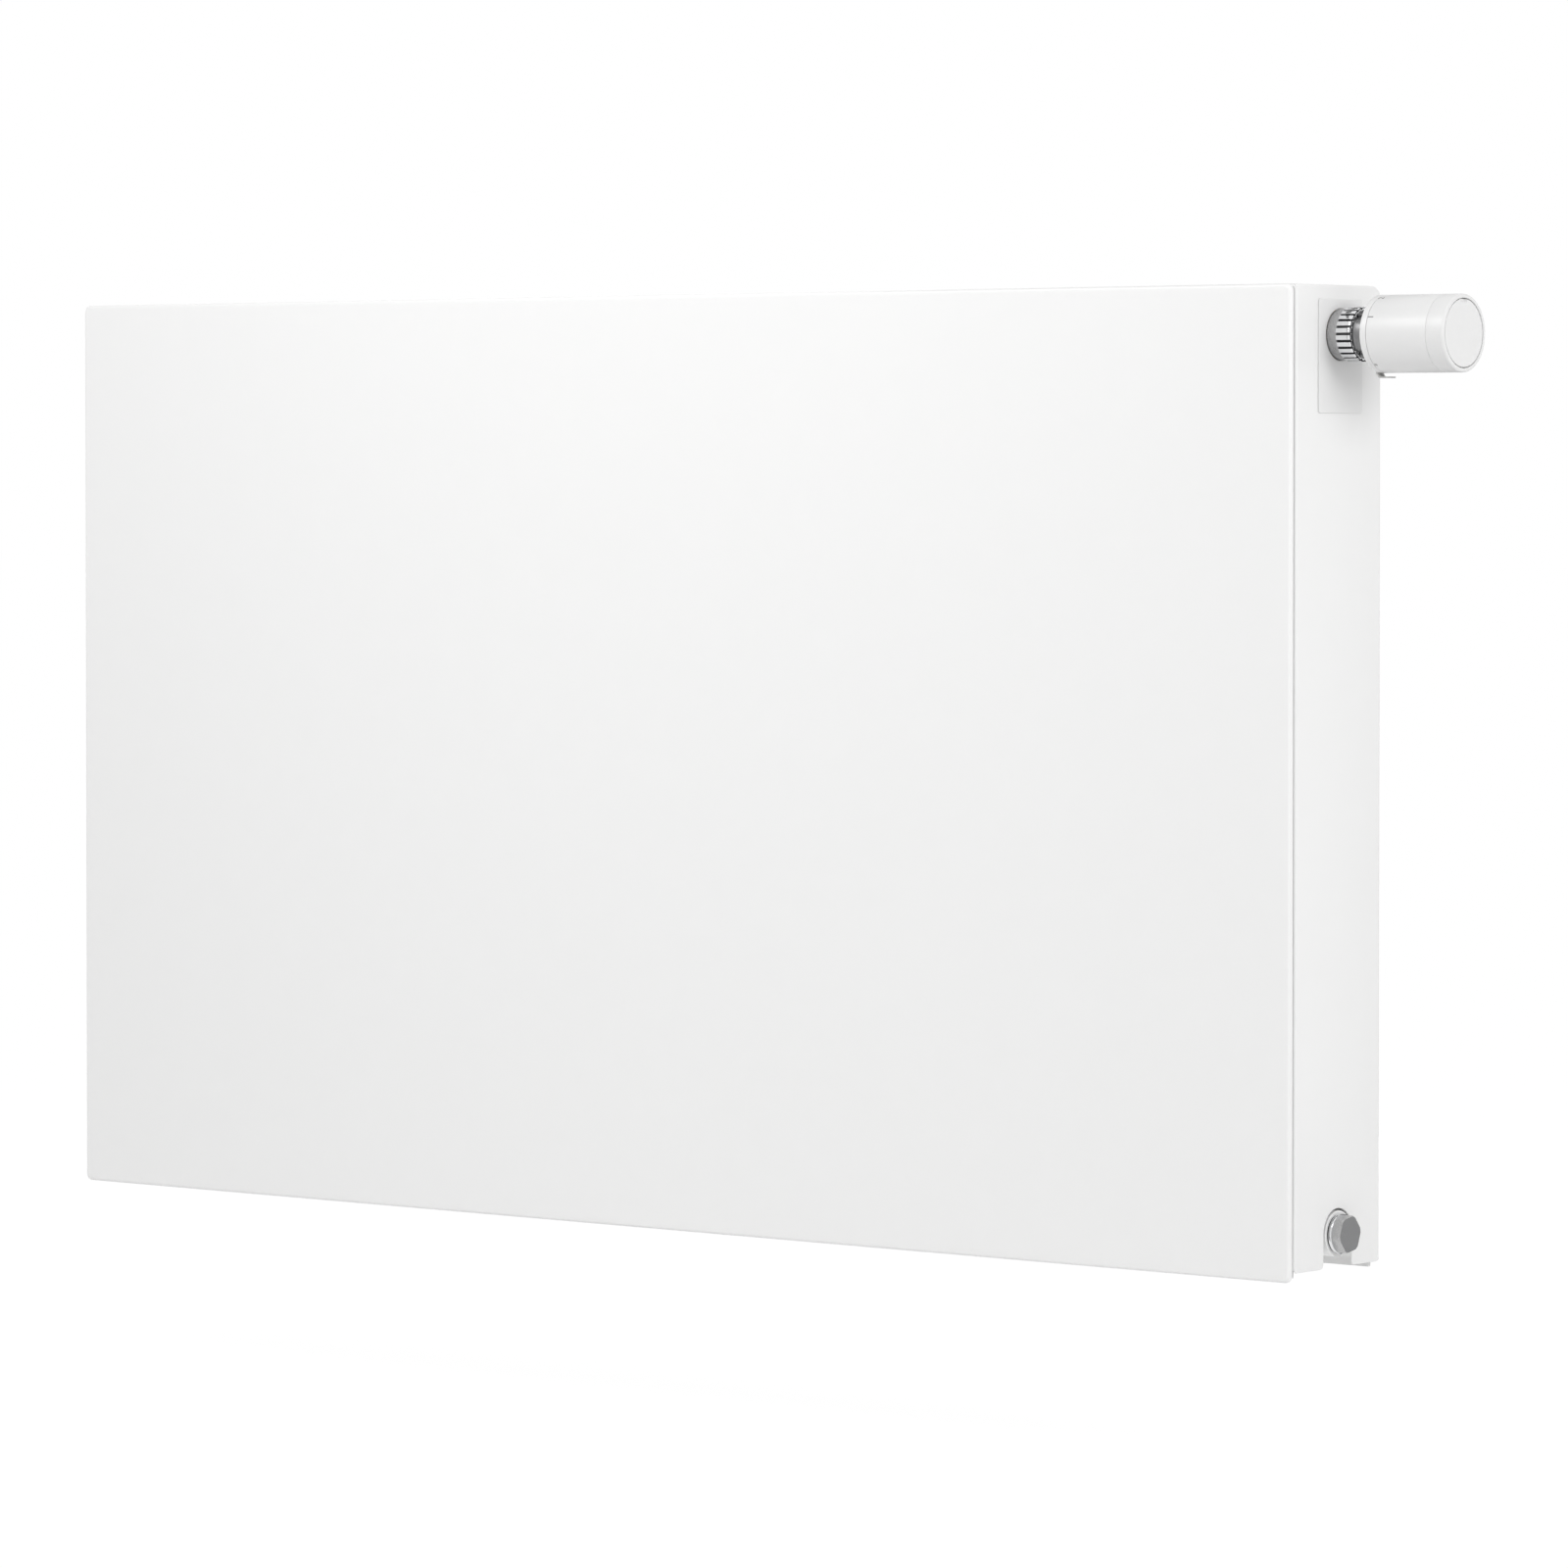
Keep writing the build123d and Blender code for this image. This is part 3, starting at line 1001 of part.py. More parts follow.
def all_pieces():
    """Every piece of the radiator under its own name."""
    escutcheon_hole = NUT_COLLAR_RADIUS + ESCUTCHEON_HOLE_CLEARANCE
    vent_hole = BOSS_RADIUS + NOTCH_CLEARANCE
    rod_x0 = SPINDLE_TIP_X + ROD_GAP
    return {
        "front_cover_plate": front_cover_plate(),
        "front_plate_bonding_strips": bonding_strips(),
        "front_water_panel": water_panel(FRONT_MID_Y, FRONT_INNER_Y),
        "rear_water_panel": water_panel(REAR_MID_Y, REAR_INNER_Y),
        "front_convector": convector(FRONT_INNER_Y, 1),
        "rear_convector": convector(REAR_INNER_Y, -1),
        "right_side_cover": side_cover(),
        "left_side_cover": to_left(side_cover()),
        "side_cover_clips": side_cover_clips(),
        "valve_escutcheon_plate": escutcheon(escutcheon_hole),
        "vent_escutcheon_plate": to_left(escutcheon(vent_hole)),
        "top_grille": top_grille(),
        "grille_clips": grille_clips(),
        "valve_housing": valve_housing(),
        "bottom_right_tee": bottom_right_tee(),
        "top_left_tee": to_left(tee(TOP_Z, HALF)),
        "bottom_left_tee": to_left(tee(BOTTOM_Z, HALF)),
        "connection_bracket": connection_bracket(),
        "supply_nipple": supply_nipple(),
        "return_nipple": return_nipple(),
        "riser_pipe": riser_pipe(),
        "bottom_right_plug": plug(),
        "bottom_left_plug": to_left(plug()),
        "right_plug_gasket": boss_gasket(HALF, BOTTOM_Z),
        "left_plug_gasket": to_left(boss_gasket(HALF, BOTTOM_Z)),
        "valve_insert_body": valve_insert_body(),
        "valve_insert_gasket": boss_gasket(VALVE_BOSS_X, TOP_Z),
        "gland_nut": gland_nut(),
        "valve_spindle": valve_spindle(),
        "valve_disc": rod_x(DISC_RADIUS, DISC_X, DISC_X + DISC_THICKNESS, TOP_Z),
        "valve_spring": coil_spring(
            SPRING_X, VALVE_SPRING_LENGTH, VALVE_SPRING_RADIUS, VALVE_SPRING_WIRE, VALVE_SPRING_TURNS
        ),
        "presetting_dial": presetting_dial(),
        "union_nut": union_nut(),
        "neck_collar": neck_collar(),
        "head_base": head_base(),
        "index_ring": index_ring(),
        "limit_clip": limit_clip(),
        "handle_sleeve": handle_sleeve(),
        "handle_end_ring": handle_end_ring(),
        "end_cap": end_cap(),
        "drive_ring": drive_ring(),
        "sensor_carriage": sensor_carriage(),
        "sensor_capsule": rod_x(CAPSULE_RADIUS, CAPSULE_X, CAPSULE_END_X, TOP_Z),
        "overtravel_spring": coil_spring(
            CAPSULE_END_X, OVERTRAVEL_LENGTH, OVERTRAVEL_RADIUS, OVERTRAVEL_WIRE, OVERTRAVEL_TURNS
        ),
        "push_rod": rod_x(ROD_RADIUS, rod_x0, CAPSULE_X, TOP_Z),
        "air_vent_body": to_left(vent_body()),
        "air_vent_gasket": to_left(boss_gasket(HALF, TOP_Z)),
        "vent_screw": to_left(vent_screw()),
        "vent_nozzle": to_left(vent_nozzle()),
        "hanging_lugs": hanging_lugs(),
    }


def save(name, shape):
    """Move a piece to the part's own origin and write it."""
    export_step(ROW_ORIGIN * shape, f"parts/{name}.step")


os.makedirs("parts", exist_ok=True)
for piece_name, piece_shape in all_pieces().items():
    save(piece_name, piece_shape)
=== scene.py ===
# %% [markdown]
# # A flat-front panel radiator with a thermostatic valve
# The radiator's measured model comes in as a frame of named nodes. This lesson dresses that frame:
# sheet metal, chrome and moulded plastic are drawn again as smooth numpy surfaces in the same places,
# and every node that keeps its own shape gets a finish. Lengths are written in millimetres, with x along
# the radiator, y towards the wall and z up, and are turned into metres when a mesh is made.

import json
import math

import bmesh
import bpy
import numpy as np
from mathutils import Euler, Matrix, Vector, geometry


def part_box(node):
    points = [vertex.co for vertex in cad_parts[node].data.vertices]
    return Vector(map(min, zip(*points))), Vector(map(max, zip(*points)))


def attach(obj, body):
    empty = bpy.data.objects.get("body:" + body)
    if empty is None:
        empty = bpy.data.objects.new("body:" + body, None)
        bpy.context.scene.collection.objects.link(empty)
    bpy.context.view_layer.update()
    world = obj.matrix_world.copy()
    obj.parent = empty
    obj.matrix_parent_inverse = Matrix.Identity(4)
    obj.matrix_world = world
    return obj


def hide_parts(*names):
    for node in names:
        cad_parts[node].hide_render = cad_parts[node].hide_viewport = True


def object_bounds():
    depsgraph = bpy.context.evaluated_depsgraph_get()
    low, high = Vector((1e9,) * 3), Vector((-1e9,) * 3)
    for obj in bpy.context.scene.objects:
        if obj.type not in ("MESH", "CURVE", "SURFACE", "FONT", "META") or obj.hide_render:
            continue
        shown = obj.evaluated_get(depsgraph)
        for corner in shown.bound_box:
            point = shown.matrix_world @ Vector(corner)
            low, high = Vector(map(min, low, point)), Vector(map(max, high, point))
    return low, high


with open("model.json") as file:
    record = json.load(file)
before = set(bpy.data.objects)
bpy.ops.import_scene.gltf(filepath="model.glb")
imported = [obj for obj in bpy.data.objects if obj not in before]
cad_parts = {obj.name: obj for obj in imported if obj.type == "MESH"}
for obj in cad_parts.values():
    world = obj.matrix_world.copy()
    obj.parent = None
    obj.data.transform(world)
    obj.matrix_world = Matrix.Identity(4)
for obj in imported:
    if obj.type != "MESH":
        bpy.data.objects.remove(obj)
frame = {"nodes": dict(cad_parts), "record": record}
cad_low, cad_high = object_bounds()
MM = 0.001


def node_box(node):
    """Lowest and highest corner of a node, in millimetres."""
    low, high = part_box(node)
    return np.array(low) / MM, np.array(high) / MM


print("nodes", len(frame["nodes"]), "size in mm", np.round((np.array(cad_high) - np.array(cad_low)) / MM, 1))

# %% [markdown]
# ## Camera
# The photo was taken from far off to the right with a long lens, at about the height of the valve. The
# upright edges stay nearly parallel, so the picture is moved down with a little lens shift and the camera
# is tipped by just over one degree, which other views of the same camera can bear.

# %% Camera
camera_data = bpy.data.cameras.new("camera")
camera_data.lens = 164.0435
camera_data.sensor_width = 36.0
camera_data.shift_y = -0.10
camera = bpy.data.objects.new("camera", camera_data)
camera.location = (2.92449, -3.64721, 0.1933)
camera.rotation_euler = Euler((math.radians(90 - 1.32731), 0, math.radians(38.49307)), "XYZ")
bpy.context.scene.collection.objects.link(camera)
bpy.context.scene.camera = camera
bpy.context.scene.view_settings.view_transform = "Standard"
print("camera", tuple(round(v, 3) for v in camera.location))

# %% [markdown]
# ## Studio
# White metal on a white ground is lit by a wide, even room. The world is pure white where the camera, a
# mirror or glass looks at it, and dimmer as a lamp, so that the enamel keeps its greys. A ray knows what it
# was sent out for, so one helper tells those rays from the rest. The floor lies a hand below the radiator,
# as under one that hangs on a wall, and still takes its shadow.

# %% World
AMBIENT = 0.64


def looked_at(tree):
    """1 for a ray of the camera, of a mirror or of glass, and 0 for every other ray."""
    rays = tree.nodes.new("ShaderNodeLightPath")
    result = rays.outputs["Is Camera Ray"]
    for kind in ("Is Glossy Ray", "Is Transmission Ray"):
        larger = tree.nodes.new("ShaderNodeMath")
        larger.operation = "MAXIMUM"
        tree.links.new(result, larger.inputs[0])
        tree.links.new(rays.outputs[kind], larger.inputs[1])
        result = larger.outputs[0]
    return result


world = bpy.data.worlds.new("studio")
bpy.context.scene.world = world
world.use_nodes = True
nodes, links = world.node_tree.nodes, world.node_tree.links
nodes.clear()
world_out = nodes.new("ShaderNodeOutputWorld")
room_light = nodes.new("ShaderNodeBackground")
room_light.inputs["Color"].default_value = (1, 1, 1, 1)
room_light.inputs["Strength"].default_value = AMBIENT
white_ground = nodes.new("ShaderNodeBackground")
white_ground.inputs["Color"].default_value = (1, 1, 1, 1)
white_ground.inputs["Strength"].default_value = 1.0
which = nodes.new("ShaderNodeMixShader")
links.new(looked_at(world.node_tree), which.inputs["Fac"])
links.new(room_light.outputs[0], which.inputs[1])
links.new(white_ground.outputs[0], which.inputs[2])
links.new(which.outputs[0], world_out.inputs["Surface"])
print("world strength", AMBIENT)

# %% Floor
FLOOR_DROP = 0.12
FLOOR_REACH = 30.0
PAPER_GREY = 0.86
PAPER_GLOW = 1.05
GLOW_SHARE = 0.9  # the rest of what is looked at is the lit paper, with the shadow on it
floor_z = cad_low[2] - FLOOR_DROP
reach = np.array([[-1, -1], [1, -1], [1, 1], [-1, 1]]) * FLOOR_REACH
floor_mesh = bpy.data.meshes.new("floor")
floor_mesh.from_pydata(np.c_[reach, np.full(4, floor_z)], [], [(0, 1, 2, 3)])
floor = bpy.data.objects.new("floor", floor_mesh)
bpy.context.scene.collection.objects.link(floor)
paper = bpy.data.materials.new("white_paper")
paper.use_nodes = True
nodes, links = paper.node_tree.nodes, paper.node_tree.links
nodes.clear()
paper_out = nodes.new("ShaderNodeOutputMaterial")
shaded = nodes.new("ShaderNodeBsdfDiffuse")
shaded.inputs["Color"].default_value = (PAPER_GREY, PAPER_GREY, PAPER_GREY, 1)
glow = nodes.new("ShaderNodeEmission")
glow.inputs["Strength"].default_value = PAPER_GLOW
share = nodes.new("ShaderNodeMath")
share.operation = "MULTIPLY"
share.inputs[1].default_value = GLOW_SHARE
which = nodes.new("ShaderNodeMixShader")
links.new(looked_at(paper.node_tree), share.inputs[0])
links.new(share.outputs[0], which.inputs["Fac"])
links.new(shaded.outputs[0], which.inputs[1])
links.new(glow.outputs[0], which.inputs[2])
links.new(which.outputs[0], paper_out.inputs["Surface"])
floor_mesh.materials.append(paper)
print("floor at", round(floor_z, 3))


# %% [markdown]
# Three soft boxes give the enamel its slow gradients: one high in front of the middle, so that the plate is
# brightest near its top, one to the right for the side cover, and one behind for the pressed back. A dark
# card above, a dark one behind the valve and a grey one behind the plug stand there as in a photo studio,
# because chrome only looks like chrome when it has something dark to mirror. The camera does not see them,
# and they cast no shadow.

# %% Lamps
def soft_box(name, place, target, size, watts):
    """A rectangular area lamp at a place, turned to face a target, both in metres."""
    data = bpy.data.lights.new(name, "AREA")
    data.shape = "RECTANGLE"
    data.size, data.size_y = size
    data.energy = watts
    lamp = bpy.data.objects.new(name, data)
    lamp.location = place
    lamp.rotation_euler = (Vector(target) - Vector(place)).to_track_quat("-Z", "Y").to_euler()
    bpy.context.scene.collection.objects.link(lamp)


soft_box("front_box", (-0.06, -1.1, 0.95), (0.0, -0.11, 0.0), (0.7, 0.4), 6.8)
soft_box("side_box", (2.3, -0.40, 0.75), (0.5, -0.06, 0.1), (0.8, 0.8), 13)
soft_box("back_box", (-0.6, 1.8, 0.0), (-0.1, 0.0, 0.0), (0.8, 0.8), 7.5)


# %% Cards
def card(name, corners, grey):
    """A flat matt card from four corners in metres, seen only in reflections."""
    mesh = bpy.data.meshes.new(name)
    mesh.from_pydata(np.array(corners), [], [(0, 1, 2, 3)])
    sheet = bpy.data.objects.new(name, mesh)
    bpy.context.scene.collection.objects.link(sheet)
    sheet.visible_camera = False
    sheet.visible_diffuse = False
    sheet.visible_shadow = False
    velvet = bpy.data.materials.new(name)
    velvet.use_nodes = True
    shader = velvet.node_tree.nodes["Principled BSDF"]
    shader.inputs["Base Color"].default_value = (grey, grey, grey, 1)
    shader.inputs["Roughness"].default_value = 0.9
    mesh.materials.append(velvet)


card("card_above", [(0.05, -0.2, 0.45), (0.40, -0.2, 0.45), (0.40, 0.25, 0.45), (0.05, 0.25, 0.45)], 0.01)
card("card_behind", [(0.42, 0.1, -0.25), (0.605, 0.1, -0.25), (0.605, 0.1, 0.32), (0.42, 0.1, 0.32)], 0.02)
card("card_low", [(0.42, 0.1, -0.45), (0.85, 0.1, -0.45), (0.75, 0.1, -0.25), (0.42, 0.1, -0.25)], 0.345)


# %% [markdown]
# ## Finishes
# Each finish is one small node tree. A helper makes the common part: a principled shader whose colour and
# roughness drift slowly with a noise, and whose normal gets a fine bump. What differs between enamel,
# plastic and metal is the scale of that noise, because orange peel in paint is millimetres wide while
# moulded plastic has a grain of tenths.

# %% Finish helper
FINISHES = {}


def finish(name, colour, drift, roughness, peel, depth, metallic=0.0, stretch=(1, 1, 1)):
    """A procedural finish on Object coordinates: colour +- drift, a (low, high) roughness, and a bump of
    one noise with `peel` cells per metre and `depth` metres of height; stretch draws the noise out."""
    material = bpy.data.materials.new(name)
    material.use_nodes = True
    nodes, links = material.node_tree.nodes, material.node_tree.links
    shader = nodes["Principled BSDF"]
    shader.inputs["Metallic"].default_value = metallic
    place = nodes.new("ShaderNodeTexCoord")
    scale = nodes.new("ShaderNodeMapping")
    scale.inputs["Scale"].default_value = stretch
    slow = nodes.new("ShaderNodeTexNoise")
    slow.inputs["Scale"].default_value = peel / 8
    slow.inputs["Detail"].default_value = 4.0
    fine = nodes.new("ShaderNodeTexNoise")
    fine.inputs["Scale"].default_value = peel
    fine.inputs["Detail"].default_value = 2.0
    tint = nodes.new("ShaderNodeMix")
    tint.data_type = "RGBA"
    fac, dark, light = (tint.inputs[i] for i in (0, 6, 7))  # the sockets of a Mix node that mixes colours
    dark.default_value = (*np.clip(np.array(colour) - drift, 0, 1), 1)
    light.default_value = (*np.clip(np.array(colour) + drift, 0, 1), 1)
    sheen = nodes.new("ShaderNodeMapRange")
    sheen.inputs["To Min"].default_value, sheen.inputs["To Max"].default_value = roughness
    bump = nodes.new("ShaderNodeBump")
    bump.inputs["Strength"].default_value = 1.0
    bump.inputs["Distance"].default_value = depth
    links.new(place.outputs["Object"], scale.inputs["Vector"])
    links.new(scale.outputs["Vector"], slow.inputs["Vector"])
    links.new(scale.outputs["Vector"], fine.inputs["Vector"])
    links.new(slow.outputs["Fac"], fac)
    links.new(tint.outputs[2], shader.inputs["Base Color"])
    links.new(slow.outputs["Fac"], sheen.inputs["Value"])
    links.new(sheen.outputs["Result"], shader.inputs["Roughness"])
    links.new(fine.outputs["Fac"], bump.inputs["Height"])
    links.new(bump.outputs["Normal"], shader.inputs["Normal"])
    FINISHES[name] = material


# %% [markdown]
# The enamel is stoved paint: white, glossy and slightly rippled. The plastic of the head is a touch softer
# in its gloss. The metals differ in how tight their reflections are, and where a piece was turned, its noise
# is squeezed along x, so that it runs round the axis. The nut's grooves and the neck collar get dark finishes
# that are painted shade, and the brushed chrome is darker than chrome partly as a painted reflection. The ink
# of the dial and the plates on the covers have finishes of their own.

# %% Finishes
TURNED = (6, 1, 1)
finish("white_enamel", (0.905, 0.905, 0.902), 0.005, (0.31, 0.36), 320, 2.0e-6)
finish("white_plastic", (0.800, 0.800, 0.798), 0.008, (0.34, 0.42), 1800, 1.5e-6)
finish("plate_plastic", (0.850, 0.850, 0.848), 0.006, (0.32, 0.40), 1800, 1.5e-6)
finish("clip_plastic", (0.560, 0.560, 0.550), 0.020, (0.48, 0.60), 1500, 3.0e-6)
finish("mark_ink", (0.110, 0.110, 0.110), 0.010, (0.45, 0.55), 2500, 0.5e-6)
finish("seal_rubber", (0.030, 0.030, 0.031), 0.010, (0.60, 0.80), 1600, 6.0e-6)
finish("chrome", (0.760, 0.765, 0.775), 0.015, (0.05, 0.11), 900, 0.4e-6, metallic=1)
# brushed, and darker than chrome as a painted reflection of the shade round the nut and the plug's hexagon
finish("brushed_chrome_painted_dark", (0.460, 0.460, 0.462), 0.030, (0.24, 0.32), 1200, 1.0e-6, metallic=1, stretch=TURNED)
finish("satin_nickel", (0.580, 0.580, 0.575), 0.030, (0.26, 0.38), 1200, 1.2e-6, metallic=1, stretch=TURNED)
# painted shade: the neck collar sits in the dark gap between the nut and the head
finish("neck_painted_shade", (0.240, 0.240, 0.243), 0.030, (0.24, 0.34), 1200, 1.0e-6, metallic=1, stretch=TURNED)
finish("brass", (0.780, 0.590, 0.300), 0.040, (0.20, 0.34), 1000, 1.2e-6, metallic=1, stretch=TURNED)
finish("spring_steel", (0.520, 0.525, 0.540), 0.030, (0.22, 0.34), 2000, 0.8e-6, metallic=1)
finish("capsule_metal", (0.700, 0.700, 0.700), 0.030, (0.30, 0.42), 900, 1.5e-6, metallic=1)
# painted shade: near black for the nut's grooves
finish("groove_painted_shade", (0.060, 0.060, 0.062), 0.010, (0.30, 0.40), 900, 0.8e-6, metallic=1)
print("finishes", sorted(FINISHES))

# %% Every node takes the finish of its slot
SLOT_OF = {row["node"]: row["material_slot"] for row in frame["record"]["subparts"]}
for node, slot in SLOT_OF.items():
    mesh = frame["nodes"][node].data
    mesh.materials.clear()
    mesh.materials.append(FINISHES[slot])
print("nodes with a finish", len(SLOT_OF))


# %% [markdown]
# ## From points to pieces
# A surface is a grid of points, and its faces are the quads between neighbouring points. One function
# counts those quads, and one makes the mesh: it welds the seams where a grid meets itself, turns the faces
# outwards, and keeps an edge crisp where two faces meet at more than a given angle.

# %% Grid and piece helpers
def grid_faces(rows, columns, wrap_rows=False, wrap_columns=False, start=0):
    """Quads of a rows x columns grid whose point (r, c) has the index start + r * columns + c."""
    r = np.arange(rows if wrap_rows else rows - 1)[:, None]
    c = np.arange(columns if wrap_columns else columns - 1)[None, :]
    r2, c2 = (r + 1) % rows, (c + 1) % columns
    quads = np.stack([r * columns + c, r2 * columns + c, r2 * columns + c2, r * columns + c2], axis=-1)
    return (quads.reshape(-1, 4) + start).tolist()


def make_piece(name, points, faces, body, slot, stands_for=(), crisp=35.0, coat=None):
    """One mesh from points in millimetres, riding on a body, with a slot's finish or another coat."""
    mesh = bpy.data.meshes.new(name)
    mesh.from_pydata(np.asarray(points, float).reshape(-1, 3) * MM, [], faces)
    work = bmesh.new()
    work.from_mesh(mesh)
    bmesh.ops.remove_doubles(work, verts=work.verts, dist=2e-7)
    bmesh.ops.recalc_face_normals(work, faces=work.faces)
    work.to_mesh(mesh)
    work.free()
    mesh.polygons.foreach_set("use_smooth", np.ones(len(mesh.polygons), bool))
    mesh.set_sharp_from_angle(angle=math.radians(crisp))
    mesh.materials.append(FINISHES[coat or slot])
    piece = bpy.data.objects.new(name, mesh)
    bpy.context.scene.collection.objects.link(piece)
    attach(piece, body)
    if stands_for:
        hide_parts(*stands_for)
    print(name, "faces", len(mesh.polygons), "points", len(mesh.vertices))
    return piece


# %% [markdown]
# Most pieces here are bent, punched or turned from an outline with rounded corners. A rounded corner is an
# arc that touches both of its edges, so its centre lies on the corner's bisector. All corners are worked
# out at once, and the outline also carries its outward normals, which a bend needs to draw the edge in.

# %% Rounded outlines
def rounded_outline(corners, radii, steps=8):
    """Closed outline of an anticlockwise polygon with its corners replaced by arcs of the given radii.
    Arc centre = corner + bisector * radius / sin(half the corner's angle). Returns points and normals."""
    corner = np.asarray(corners, float)
    radius = np.broadcast_to(np.asarray(radii, float), len(corner))[:, None]
    back = np.roll(corner, 1, axis=0) - corner
    ahead = np.roll(corner, -1, axis=0) - corner
    back /= np.linalg.norm(back, axis=1, keepdims=True)
    ahead /= np.linalg.norm(ahead, axis=1, keepdims=True)
    turn = np.sign(ahead[:, 0] * back[:, 1] - ahead[:, 1] * back[:, 0])[:, None]
    bisector = back + ahead
    bisector /= np.linalg.norm(bisector, axis=1, keepdims=True)
    half_sine = np.sqrt((1 - np.sum(back * ahead, axis=1, keepdims=True)) / 2)
    centre = corner + bisector * radius / half_sine
    tangent = radius * np.sqrt(1 - half_sine**2) / half_sine
    first = (corner + back * tangent - centre) / radius
    last = (corner + ahead * tangent - centre) / radius
    start = np.arctan2(first[:, 1], first[:, 0])[:, None]
    sweep = (np.arctan2(last[:, 1], last[:, 0])[:, None] - start + np.pi) % (2 * np.pi) - np.pi
    angle = start + sweep * np.linspace(0, 1, steps)[None, :]
    radial = np.stack([np.cos(angle), np.sin(angle)], axis=-1)
    points = centre[:, None, :] + radius[:, :, None] * radial
    return points.reshape(-1, 2), (radial * turn[:, :, None]).reshape(-1, 2)


def rectangle(low, high):
    """Corners of an upright rectangle between two corners, anticlockwise."""
    (a0, b0), (a1, b1) = low, high
    return [(a0, b0), (a1, b0), (a1, b1), (a0, b1)]


def fill_outline(*rings):
    """Triangles that fill the first flat ring and leave the others open; indices run through all rings."""
    loops = [list(map(Vector, np.c_[ring, np.zeros(len(ring))].tolist())) for ring in rings]
    return [list(face) for face in geometry.tessellate_polygon(loops)]


square, square_normals = rounded_outline(rectangle((0, 0), (9, 9)), 1.0)
print("test outline", len(square), "first normal", np.round(square_normals[0], 3))

# %% [markdown]
# ## Front plate
# The smooth front is one sheet with a narrow rim bent back all round. It could be a bevelled box, but then
# the bend would have no inside. Here a section of the bend is carried round the rounded outline: outside
# bend, cut edge of the rim, and inside bend, and both flat faces are filled.

# %% Front plate
SHEET = 1.0
BEND = 2.0
PLATE_CORNER = 4.5
PLATE_INSET = 4.0  # from the outline to where the flat face starts
plate_low, plate_high = node_box("front_cover_plate")


def bend_section(bend, sheet, flange, face_inset, steps=7):
    """(inset, setback) points of a bent edge: inner face, inner bend, cut edge, outer bend, outer face.
    Outer bend: inset = b - b cos a, setback = b - b sin a for a from 0 to a right angle."""
    a = np.linspace(0, np.pi / 2, steps)
    inner = np.c_[bend - (bend - sheet) * np.cos(a[::-1]), bend - (bend - sheet) * np.sin(a[::-1])]
    outer = np.c_[bend - bend * np.cos(a), bend - bend * np.sin(a)]
    lip = [(sheet, flange), (sheet * 0.85, flange), (sheet * 0.15, flange), (0, flange - sheet * 0.15)]
    return np.r_[[(face_inset, sheet)], inner, lip, outer, [(face_inset, 0.0)]]


def front_plate():
    """Point = outline - normal * inset, set back from the face: one ring for each section point."""
    outline, normal = rounded_outline(rectangle(plate_low[[0, 2]], plate_high[[0, 2]]), PLATE_CORNER, 12)
    section = bend_section(BEND, SHEET, plate_high[1] - plate_low[1], PLATE_INSET)
    flat = outline[None] - normal[None] * section[:, 0, None, None]
    setback = np.broadcast_to(plate_low[1] + section[:, 1, None], flat.shape[:2])
    points = np.stack([flat[..., 0], setback, flat[..., 1]], axis=-1)
    count = len(outline)
    faces = grid_faces(len(section), count, wrap_columns=True)
    faces += [list(range(count)), list(range((len(section) - 1) * count, len(section) * count))]
    return points, faces


make_piece("front_plate_sheet", *front_plate(), "radiator", "white_enamel", ["front_cover_plate"])

# %% [markdown]
# ## Side covers
# Each side cover is a sheet with its two long edges folded in, while its top, its foot and the arch over
# the plug are plain cuts. So the edge has two sections, a fold and a cut, and every point of the outline
# blends them by how squarely it faces the front or the wall. The opening for the valve is left out of the
# filled face.

# %% Side covers
PIPE_Y = -59.5
TOP_PIPE_Z = 270.0
LOW_PIPE_Z = -274.0
ARCH_R = 15.4
COVER_INSET = 2.4  # from the outline to where the flat face starts
CUT_ROUND = 0.35
FLANGES = (2.2, 5.0)  # beside the grille, and below it
OPENING_LOW, OPENING_HIGH = (PIPE_Y - 19.3, 226.5), (PIPE_Y + 19.3, 287.5)
cover_low, cover_high = node_box("right_side_cover")
grille_low, grille_high = node_box("top_grille")


def cut_section(sheet, round_off, face_inset, steps=7):
    """(inset, setback) points of a cut edge with its outer corner rounded off, matched to bend_section."""
    a = np.linspace(0, np.pi / 2, steps)
    inner = np.c_[np.linspace(face_inset * 0.6, 0.1, steps), np.full(steps, sheet)]
    outer = np.c_[round_off - round_off * np.cos(a), round_off - round_off * np.sin(a)]
    lip = [(0.05, sheet), (0.0, sheet * 0.95), (0.0, sheet * 0.7), (0.0, sheet * 0.5)]
    return np.r_[[(face_inset, sheet)], inner, lip, outer, [(face_inset, 0.0)]]


